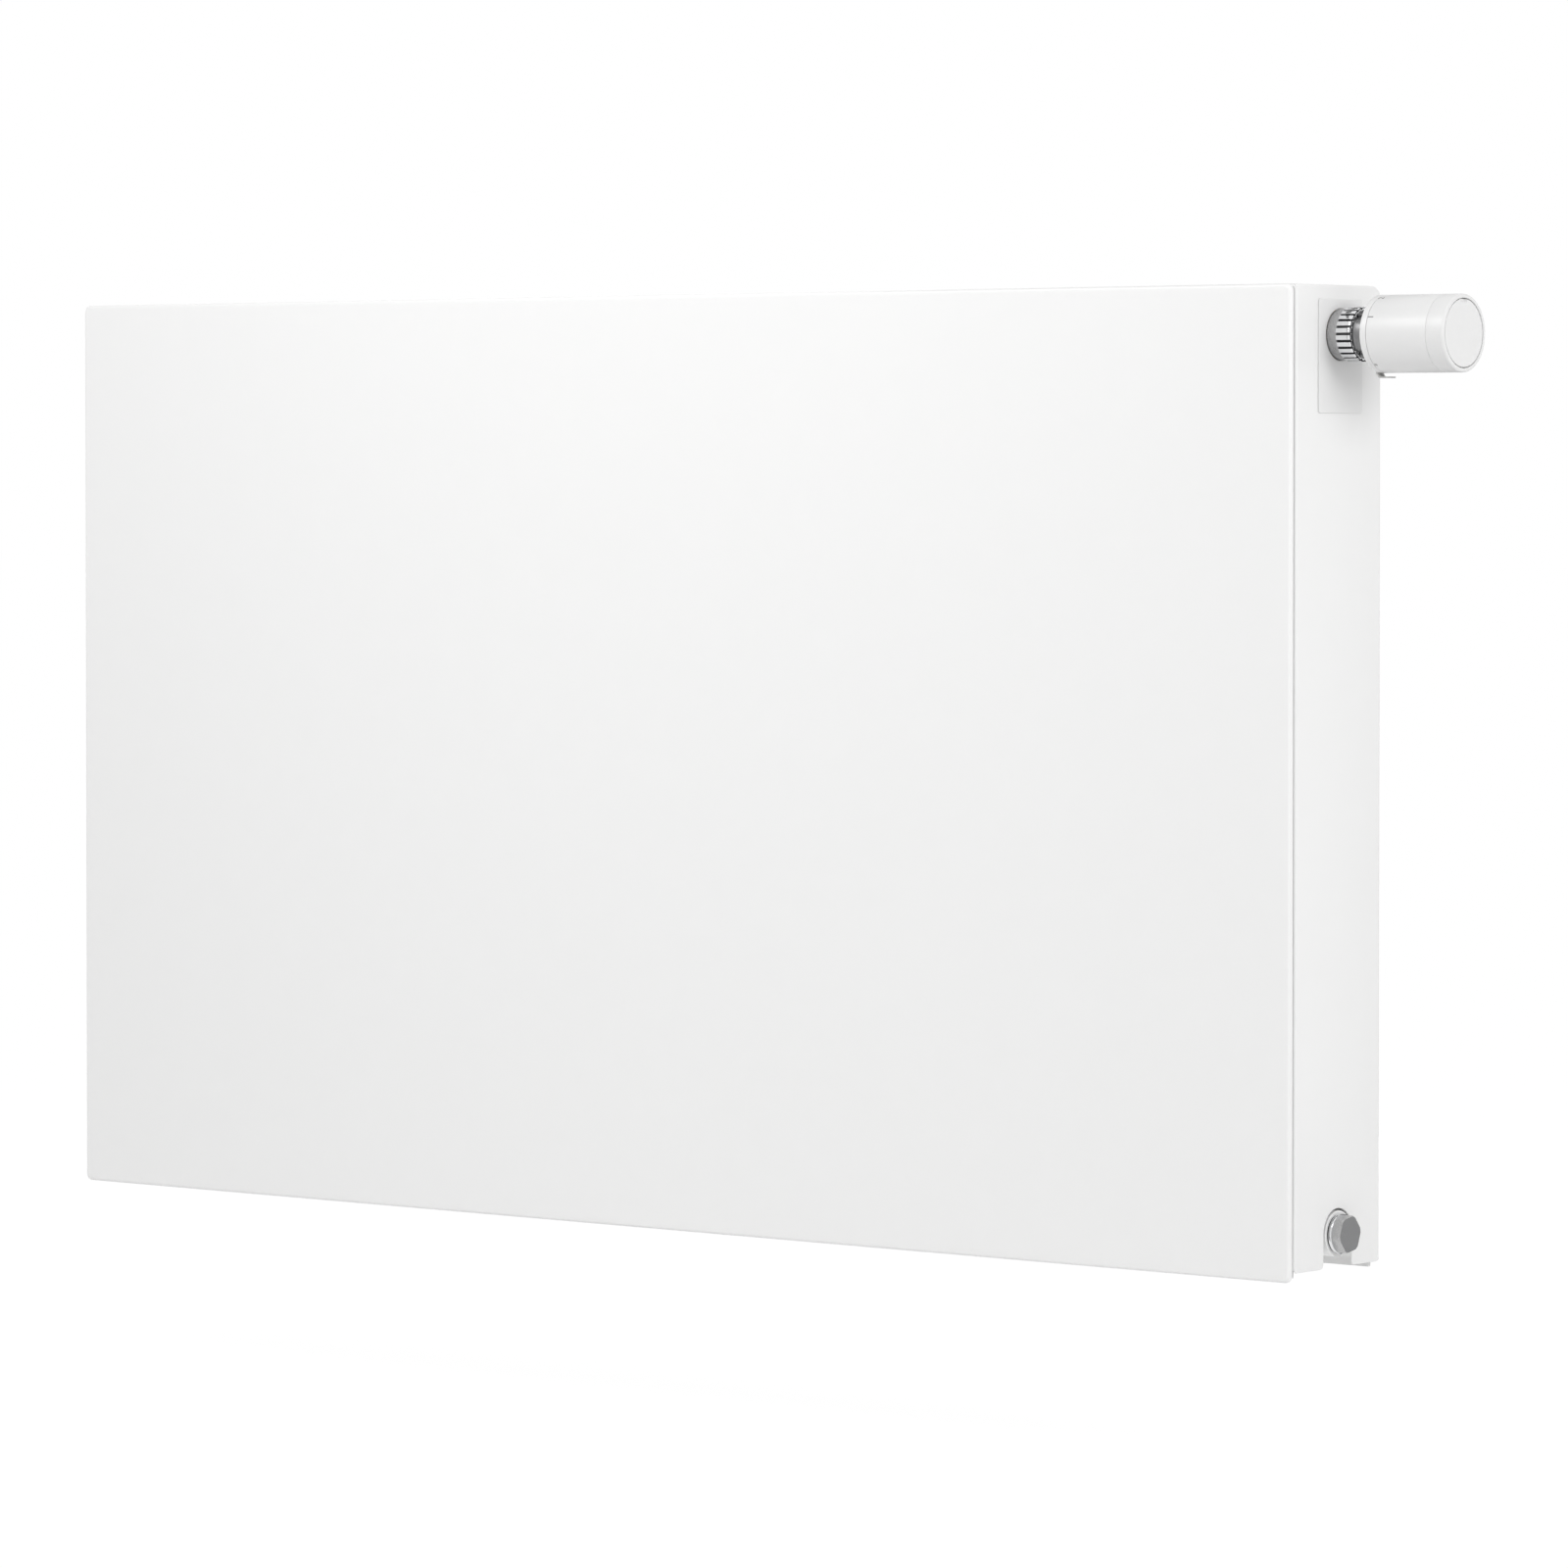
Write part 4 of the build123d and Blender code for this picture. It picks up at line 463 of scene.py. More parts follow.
def side_cover(hand):
    """Point = outline - normal * inset, with fold and cut blended by weight; hand is 1 right, -1 left."""
    x1 = cover_high[0]
    (y0, z0), (y1, z1) = cover_low[1:], cover_high[1:]
    left, right, crown = PIPE_Y - ARCH_R, PIPE_Y + ARCH_R, LOW_PIPE_Z + ARCH_R
    corners = [(y0, z0), (left, z0), (left, crown), (right, crown), (right, z0), (y1, z0), (y1, z1), (y0, z1)]
    outline, normal = rounded_outline(corners, [3, 3, ARCH_R, ARCH_R, 3, 3, 10, 2.6], 16)
    facing = np.clip((np.abs(normal[:, 0]) - 0.8) / 0.2, 0, 1)
    outer = np.abs(outline[:, 0] - PIPE_Y) > 2 * ARCH_R
    weight = (facing * facing * (3 - 2 * facing) * outer)[None, :, None]
    below_grille = (outline[:, 1] <= grille_low[2] - 1).astype(int)
    folds = np.stack([bend_section(BEND, SHEET, flange, COVER_INSET) for flange in FLANGES])
    fold = folds[below_grille].transpose(1, 0, 2)
    section = cut_section(SHEET, CUT_ROUND, COVER_INSET)[:, None, :] * (1 - weight) + fold * weight
    flat = outline[None] - normal[None] * section[..., 0, None]
    points = np.stack([hand * (x1 - section[..., 1]), flat[..., 0], flat[..., 1]], axis=-1).reshape(-1, 3)
    opening = rounded_outline(rectangle(OPENING_LOW, OPENING_HIGH), 2, 4)[0]
    rims = [np.c_[np.full(len(opening), hand * (x1 - setback)), opening] for setback in (SHEET, 0.0)]
    rows, count, hole = len(section), len(outline), len(opening)
    faces = grid_faces(rows, count, wrap_columns=True)
    faces += grid_faces(2, hole, wrap_columns=True, start=rows * count)
    for row, rim in ((0, 0), (rows - 1, 1)):
        index = np.r_[row * count + np.arange(count), rows * count + rim * hole + np.arange(hole)]
        ring = points[row * count :][:count, 1:]
        faces += index[np.array(fill_outline(ring, opening))].tolist()
    return np.r_[points, rims[0], rims[1]], faces


for side, hand in (("right", 1), ("left", -1)):
    make_piece(f"{side}_cover_sheet", *side_cover(hand), "radiator", "white_enamel", [f"{side}_side_cover"])

# %% [markdown]
# ## Escutcheon plates
# A thin moulded plate hides the opening round the valve, and another one does so round the air vent at the
# far end. Both are flat with softened edges and a round hole. The ring between the plate's outline and its
# hole is filled, and the edges are carried round as rings of points.

# %% Escutcheon plates
VALVE_HOLE_R, VENT_HOLE_R = 15.8, 15.4
PLATE_EDGE = np.array([(0.6, 1.0), (0.6, 0.65), (0.0, 0.55), (0.0, 0.3), (0.1, 0.1), (0.35, 0.0)])


def escutcheon(node, hole, hand):
    """Rings at the edge's (inset, setback) points round the outline and the hole, and two filled faces."""
    low, high = node_box(node)
    x1 = max(abs(low[0]), abs(high[0]))
    outer, outer_normal = rounded_outline(rectangle(low[1:], high[1:]), 1.5, 8)
    around = np.linspace(0, 2 * np.pi, 96, endpoint=False)
    inner_normal = -np.c_[np.cos(around), np.sin(around)]
    inner = np.array([PIPE_Y, TOP_PIPE_Z]) - inner_normal * hole
    blocks, faces, start = [], [], 0
    for ring, normal in ((outer, outer_normal), (inner, inner_normal)):
        flat = ring[None] - normal[None] * PLATE_EDGE[:, 0, None, None]
        x = np.broadcast_to(hand * (x1 - PLATE_EDGE[:, 1, None]), flat.shape[:2])
        blocks.append(np.concatenate([x[..., None], flat], axis=-1).reshape(-1, 3))
        faces += grid_faces(len(PLATE_EDGE), len(ring), wrap_columns=True, start=start)
        start += len(PLATE_EDGE) * len(ring)
    many, few = len(outer), len(inner)
    for row in (0, len(PLATE_EDGE) - 1):
        index = np.r_[row * many + np.arange(many), len(PLATE_EDGE) * many + row * few + np.arange(few)]
        rings = blocks[0][row * many :][:many, 1:], blocks[1][row * few :][:few, 1:]
        faces += index[np.array(fill_outline(*rings))].tolist()
    return np.concatenate(blocks), faces


for place, hole, hand in (("valve", VALVE_HOLE_R, 1), ("vent", VENT_HOLE_R, -1)):
    node = f"{place}_escutcheon_plate"
    make_piece(f"{place}_plate_face", *escutcheon(node, hole, hand), "radiator", "white_plastic", [node],
               crisp=20, coat="plate_plastic")

# %% [markdown]
# ## Turned pieces
# The head, the nut and the plugs are lathe work: an outline in (x, radius) is carried round a pipe axis. A
# relief function may move the points of some angles inwards or along the axis, which cuts grooves, claws,
# notches and hexagons out of the same grid without any boolean.

# %% Lathe
def lathe(outline, axis_z, angles=160, relief=None, closed=True):
    """x = outline x, y = axis - r cos f, z = axis + r sin f, where f is the angle above the front. Angles
    are a count of even steps or a list in degrees."""
    outline = np.asarray(outline, float)
    turn = np.arange(angles) * 360 / angles if np.isscalar(angles) else np.asarray(angles, float)
    f = np.radians(turn)[None, :]
    x = np.broadcast_to(outline[:, 0, None], (len(outline), len(turn)))
    r = np.broadcast_to(outline[:, 1, None], (len(outline), len(turn)))
    if relief is not None:
        x, r = relief(x, r, f)
    points = np.stack([x, PIPE_Y - r * np.cos(f), axis_z + r * np.sin(f)], axis=-1)
    return points, grid_faces(len(outline), len(turn), wrap_rows=closed, wrap_columns=True)


def turned_outline(corners, radii, steps=6):
    """Rounded (x, radius) outline of a turned ring."""
    return rounded_outline(corners, radii, steps)[0]


# %% [markdown]
# ### Union nut
# The chrome nut pulls the head onto the valve. It has a plain collar next to the radiator and then flat
# ridges for the fingers, parted by narrow grooves. A groove is a pulse of the angle with sloping walls. It
# starts at the collar and runs out through the chamfer at the nut's far end.

# %% Union nut
NUT_X0, NUT_X1, NUT_X2 = 500.6, 508.0, 518.9  # the collar starts inside the plate's hole
NUT_R = 16.7
NUT_BORE_R = 14.95
RIDGES = 24
GROOVE_DEPTH = 1.1
GROOVE_HALF, GROOVE_WALL = 2.7, 0.9  # degrees
RIDGE_WAVE = 0.1
RIDGE_TURN = 360 / RIDGES


def groove_distance(turn):
    """Degrees to the middle of the nearest groove."""
    return np.abs((turn + RIDGE_TURN / 2) % RIDGE_TURN - RIDGE_TURN / 2)


def nut_grooves(x, r, f):
    """radius - depth * pulse(angle), with a slight wave on the flat ridges, past the plain collar only."""
    off = groove_distance(np.degrees(f))
    pulse = np.clip((GROOVE_HALF - off) / GROOVE_WALL, 0, 1)
    wave = RIDGE_WAVE * ((off - 5.0) / 2.5) ** 2
    ridged = (x > NUT_X1 + 0.05) & (r > 15.2)
    return x, np.where(ridged, r - GROOVE_DEPTH * pulse - wave * (1 - pulse), r)


ridge_x = np.linspace(NUT_X1 + 0.5, NUT_X2 - 1.3, 5)
nut_outline = np.r_[
    [(NUT_X0, NUT_BORE_R), (NUT_X0, 15.3), (NUT_X0 + 0.1, 15.45), (NUT_X0 + 0.4, 15.55)],
    [(NUT_X1 - 0.15, 15.6), (NUT_X1, 15.62), (NUT_X1 + 0.06, 16.0), (NUT_X1 + 0.15, 16.5)],
    np.c_[ridge_x, np.full(5, NUT_R)],
    [(NUT_X2 - 0.9, 16.62), (NUT_X2 - 0.5, 16.3), (NUT_X2 - 0.15, 15.8), (NUT_X2, 15.4), (NUT_X2, 12.6)],
    [(NUT_X2 - 0.1, 12.5), (NUT_X2 - 5.4, 12.5), (NUT_X2 - 5.4, NUT_BORE_R)],
]
half = np.array([0.9, 1.75, 1.95, 2.55, 2.8, 3.4, 4.6, 6.0])
one_ridge = np.r_[0.0, half, RIDGE_TURN / 2, RIDGE_TURN - half[::-1]]
nut_turns = (np.arange(RIDGES)[:, None] * RIDGE_TURN + one_ridge[None, :]).ravel()
nut = make_piece("ridged_union_nut", *lathe(nut_outline, TOP_PIPE_Z, nut_turns, nut_grooves), "radiator",
                 "chrome", ["union_nut"], crisp=28)


# %% [markdown]
# The grooves take a near-black finish, painted shade for the light that they lose between the ridges. The
# plain collar is brushed, not polished, and its darker colour is also a painted reflection of the shaded
# plate beside it. So some faces of the nut take other finishes, picked by the place of their centres.

# %% Faces with another finish
def paint_faces(piece, coat, chosen, axis_z=TOP_PIPE_Z):
    """Gives another finish to the faces whose centres are chosen by their distance from the radiator's
    middle and their radius round a pipe's axis."""
    mesh = piece.data
    centre = np.empty(len(mesh.polygons) * 3)
    mesh.polygons.foreach_get("center", centre)
    x, y, z = centre.reshape(-1, 3).T / MM
    index = np.zeros(len(mesh.polygons), np.int32)
    mesh.polygons.foreach_get("material_index", index)
    mesh.materials.append(FINISHES[coat])
    index[chosen(np.abs(x), np.hypot(y - PIPE_Y, z - axis_z))] = len(mesh.materials) - 1
    mesh.polygons.foreach_set("material_index", index)
    print(piece.name, coat, "faces", np.count_nonzero(index == index.max()))


def in_groove(x, r):
    """True for the floors and walls of the grooves, and for the steep ends of the ridges: the faces painted
    with shade.
    """
    return (x > NUT_X1 + 0.1) & (x < NUT_X2 - 0.1) & (r > 15.0) & (r < 16.35)


def on_collar(x, r):
    """True for the outside of the plain collar, whose darker chrome is partly a painted reflection."""
    return (x < NUT_X1 + 0.05) & (r > 15.2)


paint_faces(nut, "groove_painted_shade", in_groove)
paint_faces(nut, "brushed_chrome_painted_dark", on_collar)

# %% [markdown]
# ### Neck collar
# Between the nut and the head sits a slotted metal collar: four claws on a ring. The claws are the collar's
# own radius, and in the slots the radius drops to the neck. It takes a near-black metal coat in place of its
# slot's satin nickel, as painted shade for the narrow gap between the nut and the head.

# %% Neck collar
CLAW_R = 15.0
SLOT_FLOOR_R = 12.45
CLAW_RING = 2.4  # width of the unslotted ring
collar_low, collar_high = node_box("neck_collar")


def collar_slots(x, r, f):
    """radius falls to the slot's floor within 9.8 degrees of the middle of four slots, except in the ring."""
    off = np.abs((np.degrees(f) + 5) % 90 - 45)
    slot = np.clip((11.2 - off) / 1.4, 0, 1) * (x < collar_high[0] - CLAW_RING)
    return x, np.where(r > SLOT_FLOOR_R + 0.05, r - slot * (r - SLOT_FLOOR_R), r)


ring_x = collar_high[0] - CLAW_RING
claw_x = np.r_[collar_low[0], collar_low[0] + 0.25, np.linspace(collar_low[0] + 1, ring_x - 0.05, 4)]
collar_outline = np.r_[
    [(collar_low[0], 12.3)],
    np.c_[claw_x, np.r_[CLAW_R - 0.4, CLAW_R - 0.05, np.full(4, CLAW_R)]],
    [(ring_x + 0.05, CLAW_R), (collar_high[0] - 0.3, CLAW_R), (collar_high[0], CLAW_R - 0.3)],
    [(collar_high[0], 12.3)],
]
make_piece("slotted_neck_collar", *lathe(collar_outline, TOP_PIPE_Z, 360, collar_slots), "radiator",
           "satin_nickel", ["neck_collar"], crisp=28, coat="neck_painted_shade")

# %% [markdown]
# ### Head
# The head is four plain turnings in white plastic: the fixed index ring, the sleeve that the hand turns, the
# end ring with its soft rim, and the cap. Tiny radii on their edges catch the light and draw the thin
# parting lines.

# %% Index ring and sleeve
HEAD_R = 23.5
index_low, index_high = node_box("index_ring")
sleeve_low, sleeve_high = node_box("handle_sleeve")
index_corners = [(index_low[0], 21.5), (index_high[0], 19.5), (index_high[0], HEAD_R), (index_low[0], HEAD_R)]
index_outline = turned_outline(index_corners, [0.2, 0.2, 0.18, 0.8], 7)
make_piece("index_ring_shell", *lathe(index_outline, TOP_PIPE_Z, 192), "radiator", "white_plastic",
           ["index_ring"])
sleeve_corners = rectangle((sleeve_low[0], 21.7), (sleeve_high[0], HEAD_R))
sleeve_outline = turned_outline(sleeve_corners, [0.1, 0.1, 0.4, 0.25], 6)
make_piece("turning_sleeve", *lathe(sleeve_outline, TOP_PIPE_Z, 192), "handle", "white_plastic",
           ["handle_sleeve"])

# %% End ring and cap
end_low, end_high = node_box("handle_end_ring")
cap_low, cap_high = node_box("end_cap")
end_corners = [
    (end_low[0], 18.0), (end_low[0] + 7, 18.0), (end_low[0] + 7, 8.0), (end_low[0] + 9, 8.0),
    (end_low[0] + 9, 21.0), (end_high[0], 21.0), (end_high[0], HEAD_R), (end_low[0], HEAD_R),
]
end_outline = turned_outline(end_corners, [0.3, 0.5, 0.2, 0.2, 0.2, 0.45, 1.5, 0.4], 8)
make_piece("handle_end_rim", *lathe(end_outline, TOP_PIPE_Z, 192), "handle", "white_plastic",
           ["handle_end_ring"])


def lever_notch(x, r, f):
    """x - 1.5 mm * notch, where the notch is 6 mm wide and reaches in from the top of the rim."""
    y, z = r * np.cos(f), r * np.sin(f)
    wide = np.clip((3.2 - np.abs(y)) / 0.4, 0, 1)
    deep = np.clip((z - 18.6) / 0.3, 0, 1)
    return x - 1.5 * wide * deep * (x > cap_high[0] - 1.6), r


CAP_R = 20.4
cap_r = np.r_[np.linspace(0, 18, 7), 18.4, 18.6, 18.75, 18.9, 19.4, 19.9, 20.2]
cap_outline = np.r_[
    np.c_[np.full(len(cap_r), cap_high[0]), cap_r],
    [(cap_high[0] - 0.1, CAP_R - 0.05), (cap_high[0] - 0.3, CAP_R), (cap_high[0] - 1.7, CAP_R)],
    [(cap_low[0], CAP_R), (cap_low[0], 10.0), (cap_low[0], 0.0)],
]
make_piece("end_cap_disc", *lathe(cap_outline, TOP_PIPE_Z, 288, lever_notch, closed=False), "handle",
           "white_plastic", ["end_cap"])

# %% [markdown]
# ### Dial marks
# The scale is printed round the sleeve: a star for frost guard, then 1 to 5, forty degrees apart, with 3 at
# the pointer while the head is at rest. Figures start as a flat font mesh with a little thickness. Then
# each flat point goes onto the cylinder: its height on the page becomes x, and its width becomes an angle.

# %% Dial marks
POINTER = 105.0
SCALE = {"*": -157.5, "1": -80.0, "2": -40.0, "3": 0.0, "4": 40.0, "5": 80.0}
MARK_SIZE = 5.4
MARK_LIFT = 0.01
MARK_HALF = 0.04  # half the ink's thickness
mark_x = sleeve_low[0] + 2.4


def wrapped_text(text, size, x, angle, radius):
    """Flat (a, b, c) -> x - b along the axis, angle + a / radius round it, radius + c outwards."""
    font = bpy.data.curves.new("mark", "FONT")
    font.body = text
    font.size = size
    font.extrude = MARK_HALF
    font.align_x = "CENTER"
    font.align_y = "CENTER"
    holder = bpy.data.objects.new("mark", font)
    bpy.context.scene.collection.objects.link(holder)
    bpy.context.view_layer.update()
    flat = bpy.data.meshes.new_from_object(holder.evaluated_get(bpy.context.evaluated_depsgraph_get()))
    page = np.empty(len(flat.vertices) * 3)
    flat.vertices.foreach_get("co", page)
    page = page.reshape(-1, 3)
    faces = [list(face.vertices) for face in flat.polygons]
    bpy.data.objects.remove(holder)
    bpy.data.curves.remove(font)
    bpy.data.meshes.remove(flat)
    f = math.radians(angle) + page[:, 0] / radius
    r = radius + page[:, 2]
    return np.c_[x - page[:, 1], PIPE_Y - r * np.cos(f), TOP_PIPE_Z + r * np.sin(f)], faces


blocks, faces = [], []
for text, turn in SCALE.items():
    points, mark_faces = wrapped_text(text, MARK_SIZE, mark_x, POINTER + turn, HEAD_R + MARK_LIFT)
    faces += [[i + sum(map(len, blocks)) for i in face] for face in mark_faces]
    blocks.append(points)
make_piece("dial_numbers", np.concatenate(blocks), faces, "handle", "seal_rubber", coat="mark_ink", crisp=20)


def pointer_mark():
    """A chevron round the ring: its middle line is x = tip - 1.5 |s| at the angle pointer + 2.2 s / radius,
    for s from -1 to 1, and a band of four points goes along it."""
    s = np.linspace(-1, 1, 13)[:, None]
    b = np.array([-1.0, 1.0, 1.0, -1.0])[None, :] * (0.55 - 0.15 * np.abs(s))
    r = HEAD_R + np.array([-0.05, -0.05, 0.05, 0.05])[None, :] + 0 * s
    x = index_high[0] - 1.4 - 1.5 * np.abs(s) + b
    f = math.radians(POINTER) + s * 2.2 / HEAD_R + 0 * b
    points = np.stack([x, PIPE_Y - r * np.cos(f), TOP_PIPE_Z + r * np.sin(f)], axis=-1)
    last = 4 * (len(s) - 1)
    return points, grid_faces(len(s), 4, wrap_columns=True) + [[0, 1, 2, 3], list(range(last, last + 4))]


make_piece("index_pointer", *pointer_mark(), "radiator", "seal_rubber", coat="mark_ink", crisp=30)

# %% [markdown]
# ### Presetting dial
# Under the head a small ring sets the most water that the valve lets through, and a key turns it. It could
# be left a plain ring, but then its turning could not be seen, so it gets the key's notches, one of them
# wide, as a relief on the lathe.

# %% Presetting dial
dial_low, dial_high = node_box("presetting_dial")
DIAL_R = (dial_high[2] - dial_low[2]) / 2
DIAL_BORE_R = 2.6
NOTCH_TURN = 45.0
NOTCH_DEPTH = 1.3
NARROW_HALF, WIDE_HALF = 5.0, 11.0  # half widths in degrees


def key_notches(x, r, f):
    """radius - depth near every 45 degrees, over a wider angle at the notch that starts at the top."""
    turn = np.degrees(f)
    off = np.abs((turn + NOTCH_TURN / 2) % NOTCH_TURN - NOTCH_TURN / 2)
    half_width = np.where(np.abs(turn - 90) < NOTCH_TURN / 2, WIDE_HALF, NARROW_HALF)
    notch = np.clip(half_width - off, 0, 1)
    return x, np.where(r > DIAL_R - 1.0, r - NOTCH_DEPTH * notch, r)


dial_corners = rectangle((dial_low[0], DIAL_BORE_R), (dial_high[0], DIAL_R))
dial_outline = turned_outline(dial_corners, [0.15, 0.15, 0.3, 0.15], 5)
make_piece("notched_presetting_dial", *lathe(dial_outline, TOP_PIPE_Z, 360, key_notches), "presetting",
           SLOT_OF["presetting_dial"], ["presetting_dial"], crisp=30)

# %% [markdown]
# ### Limit clip
# A small bent tongue pokes out below the head. It is pushed in to stop the dial at a chosen number. It
# could be two bevelled boxes, but it is one strip, so its side outline is drawn out across its width, with
# a softened edge at both ends.

# %% Limit clip
clip_low, clip_high = node_box("limit_clip")


def drawn_out(corners, radii, start, end, soft, steps=6):
    """A rounded outline carried from one level to another, drawn in by `soft` at both ends and closed there.
    Returns flat points (a, b, level) and faces."""
    outline, normal = rounded_outline(corners, radii, steps)
    inset = np.array([soft, soft * 0.3, 0.0, 0.0, soft * 0.3, soft])
    level = np.array([start, start + soft * 0.3, start + soft, end - soft, end - soft * 0.3, end])
    flat = outline[None] - normal[None] * inset[:, None, None]
    points = np.concatenate([flat, np.broadcast_to(level[:, None, None], (*flat.shape[:2], 1))], axis=-1)
    cap = np.array(fill_outline(outline))
    faces = grid_faces(len(level), len(outline), wrap_columns=True)
    faces += cap.tolist() + (cap + (len(level) - 1) * len(outline)).tolist()
    return points.reshape(-1, 3), faces


def limit_clip():
    """Side outline in (x, z): an upright foot, a slanting bend and a thin finger, drawn out across y."""
    (x0, y0, z0), (x1, y1, z1) = clip_low, clip_high
    corners = [(x0, z1), (x0, z0 + 2.6), (x0 + 2.1, z0), (x1, z0), (x1, z0 + 0.9), (x0 + 2.7, z0 + 0.9),
               (x0 + 1.4, z0 + 2.8), (x0 + 1.4, z1)]
    flat, faces = drawn_out(corners, [0.2, 0.9, 0.9, 0.3, 0.3, 0.4, 0.4, 0.2], y0, y1, 0.3)
    return flat[:, [0, 2, 1]], faces


make_piece("limit_tongue", *limit_clip(), "radiator", "clip_plastic", ["limit_clip"])

# %% [markdown]
# ### Plugs
# The lower boss is closed by a chrome plug: a round flange and a hexagon with turned-off corners. The
# hexagon is a relief on the lathe, radius = flat / cos(angle from the middle of the flat), and the turned
# chamfer is the smaller of that and a cone. The flats come from drawn bar, so they are duller than the
# polished end and flange, and their darker colour is also a painted reflection of the shaded arch round them.

# %% Plugs
THREAD_R = 10.3
FLANGE_R = 12.2
HEX_FLAT = 10.3
HEX_CORNER_R = 11.75
HEX_CHAMFER = 0.65
HEX_LENGTH = 6.0
HEX_TURN = 20.0  # degrees from the front up to the middle of a flat
plug_end = node_box("bottom_right_plug")[1][0]


def hexagon(x, r, f):
    """radius = the smaller of the turned radius and flat / cos(angle off the flat's middle)."""
    off = (np.degrees(f) - HEX_TURN + 30.0) % 60.0 - 30.0
    flat = HEX_FLAT / np.cos(np.radians(off))
    return x, np.where(x > plug_end - HEX_LENGTH + 0.03, np.minimum(r, flat), r)


def plug(hand):
    """Lathe outline of thread, flange and hexagon, with the hexagon's relief; hand is 1 right, -1 left."""
    along = np.linspace(plug_end - 5.8, plug_end - 1.3, 4)
    hex_x = np.r_[plug_end - 5.95, along, np.linspace(plug_end - 1.1, plug_end, 10)]
    cone = HEX_CORNER_R - np.clip(hex_x - (plug_end - 1.0), 0, 1) * HEX_CHAMFER
    outline = np.r_[
        [(plug_end - 21, 0.0), (plug_end - 21, THREAD_R - 0.7), (plug_end - 20.3, THREAD_R)],
        [(plug_end - 8.0, THREAD_R), (plug_end - 8.0, FLANGE_R - 0.2)],
        [(plug_end - 7.8, FLANGE_R), (plug_end - 6.4, FLANGE_R)],
        [(plug_end - 6.1, FLANGE_R - 0.15), (plug_end - HEX_LENGTH, FLANGE_R - 0.3)],
        np.c_[hex_x, cone],
        [(plug_end, 9.6), (plug_end, 5.0), (plug_end, 0.0)],
    ]
    points, faces = lathe(outline, LOW_PIPE_Z, 360, hexagon, closed=False)
    return points * [hand, 1, 1], faces


def on_flats(x, r):
    """True for the flats and the chamfer of the hexagon, which get the darker brushed chrome."""
    return (np.abs(x - plug_end + HEX_LENGTH / 2) < HEX_LENGTH / 2 - 0.05) & (r > 9.9)


for side, hand in (("right", 1), ("left", -1)):
    made = make_piece(f"{side}_plug_chrome", *plug(hand), "radiator", "chrome", [f"bottom_{side}_plug"],
                      crisp=24)
    paint_faces(made, "brushed_chrome_painted_dark", on_flats, LOW_PIPE_Z)

# %% [markdown]
# ## Top grille
# The grille lies on top, out of sight in the main view, but it is the first thing seen from above. Its
# flat part is one filled outline with all slots left open, made for the upper and the lower side. Each slot
# has a softened rim, and the long edges are the same bend as on the covers, wider at the back.

# %% Top grille
GRILLE_SHEET = 0.8
FRONT_BEND, REAR_BEND = 2.0, 10.0
FLAT_STRIP = 0.6  # between a bend and the slotted face, so that the face shades flat
SLOT_PITCH = 12.0
SLOT_HALF = np.array([2.75, 16.0])
SLOT_ROW = 19.0  # from the middle line to the middle of a row of slots
END_MARGIN = 28.0  # plain sheet at both ends together
SLOT_RIM = np.array([(0.3, 0.0), (0.1, 0.1), (0.0, 0.3), (0.0, GRILLE_SHEET)])


def skirts(inset):
    """Sections (y, z) of the front and the rear skirt, with their bends, drawn in by an inset."""
    (y0, z0), (y1, z1) = grille_low[1:], grille_high[1:]
    a = np.linspace(0, np.pi / 2, 13)
    r0, r1 = FRONT_BEND - inset, REAR_BEND - inset
    ahead = np.c_[y0 + inset + r0 - r0 * np.cos(a), z1 - inset - r0 + r0 * np.sin(a)]
    behind = np.c_[y1 - inset - r1 + r1 * np.sin(a), z1 - inset - r1 + r1 * np.cos(a)]
    ahead = np.r_[[(y0 + inset, z0)], ahead, [(y0 + FRONT_BEND + FLAT_STRIP, z1 - inset)]]
    behind = np.r_[[(y1 - REAR_BEND - FLAT_STRIP, z1 - inset)], behind, [(y1 - inset, z0)]]
    return ahead, behind


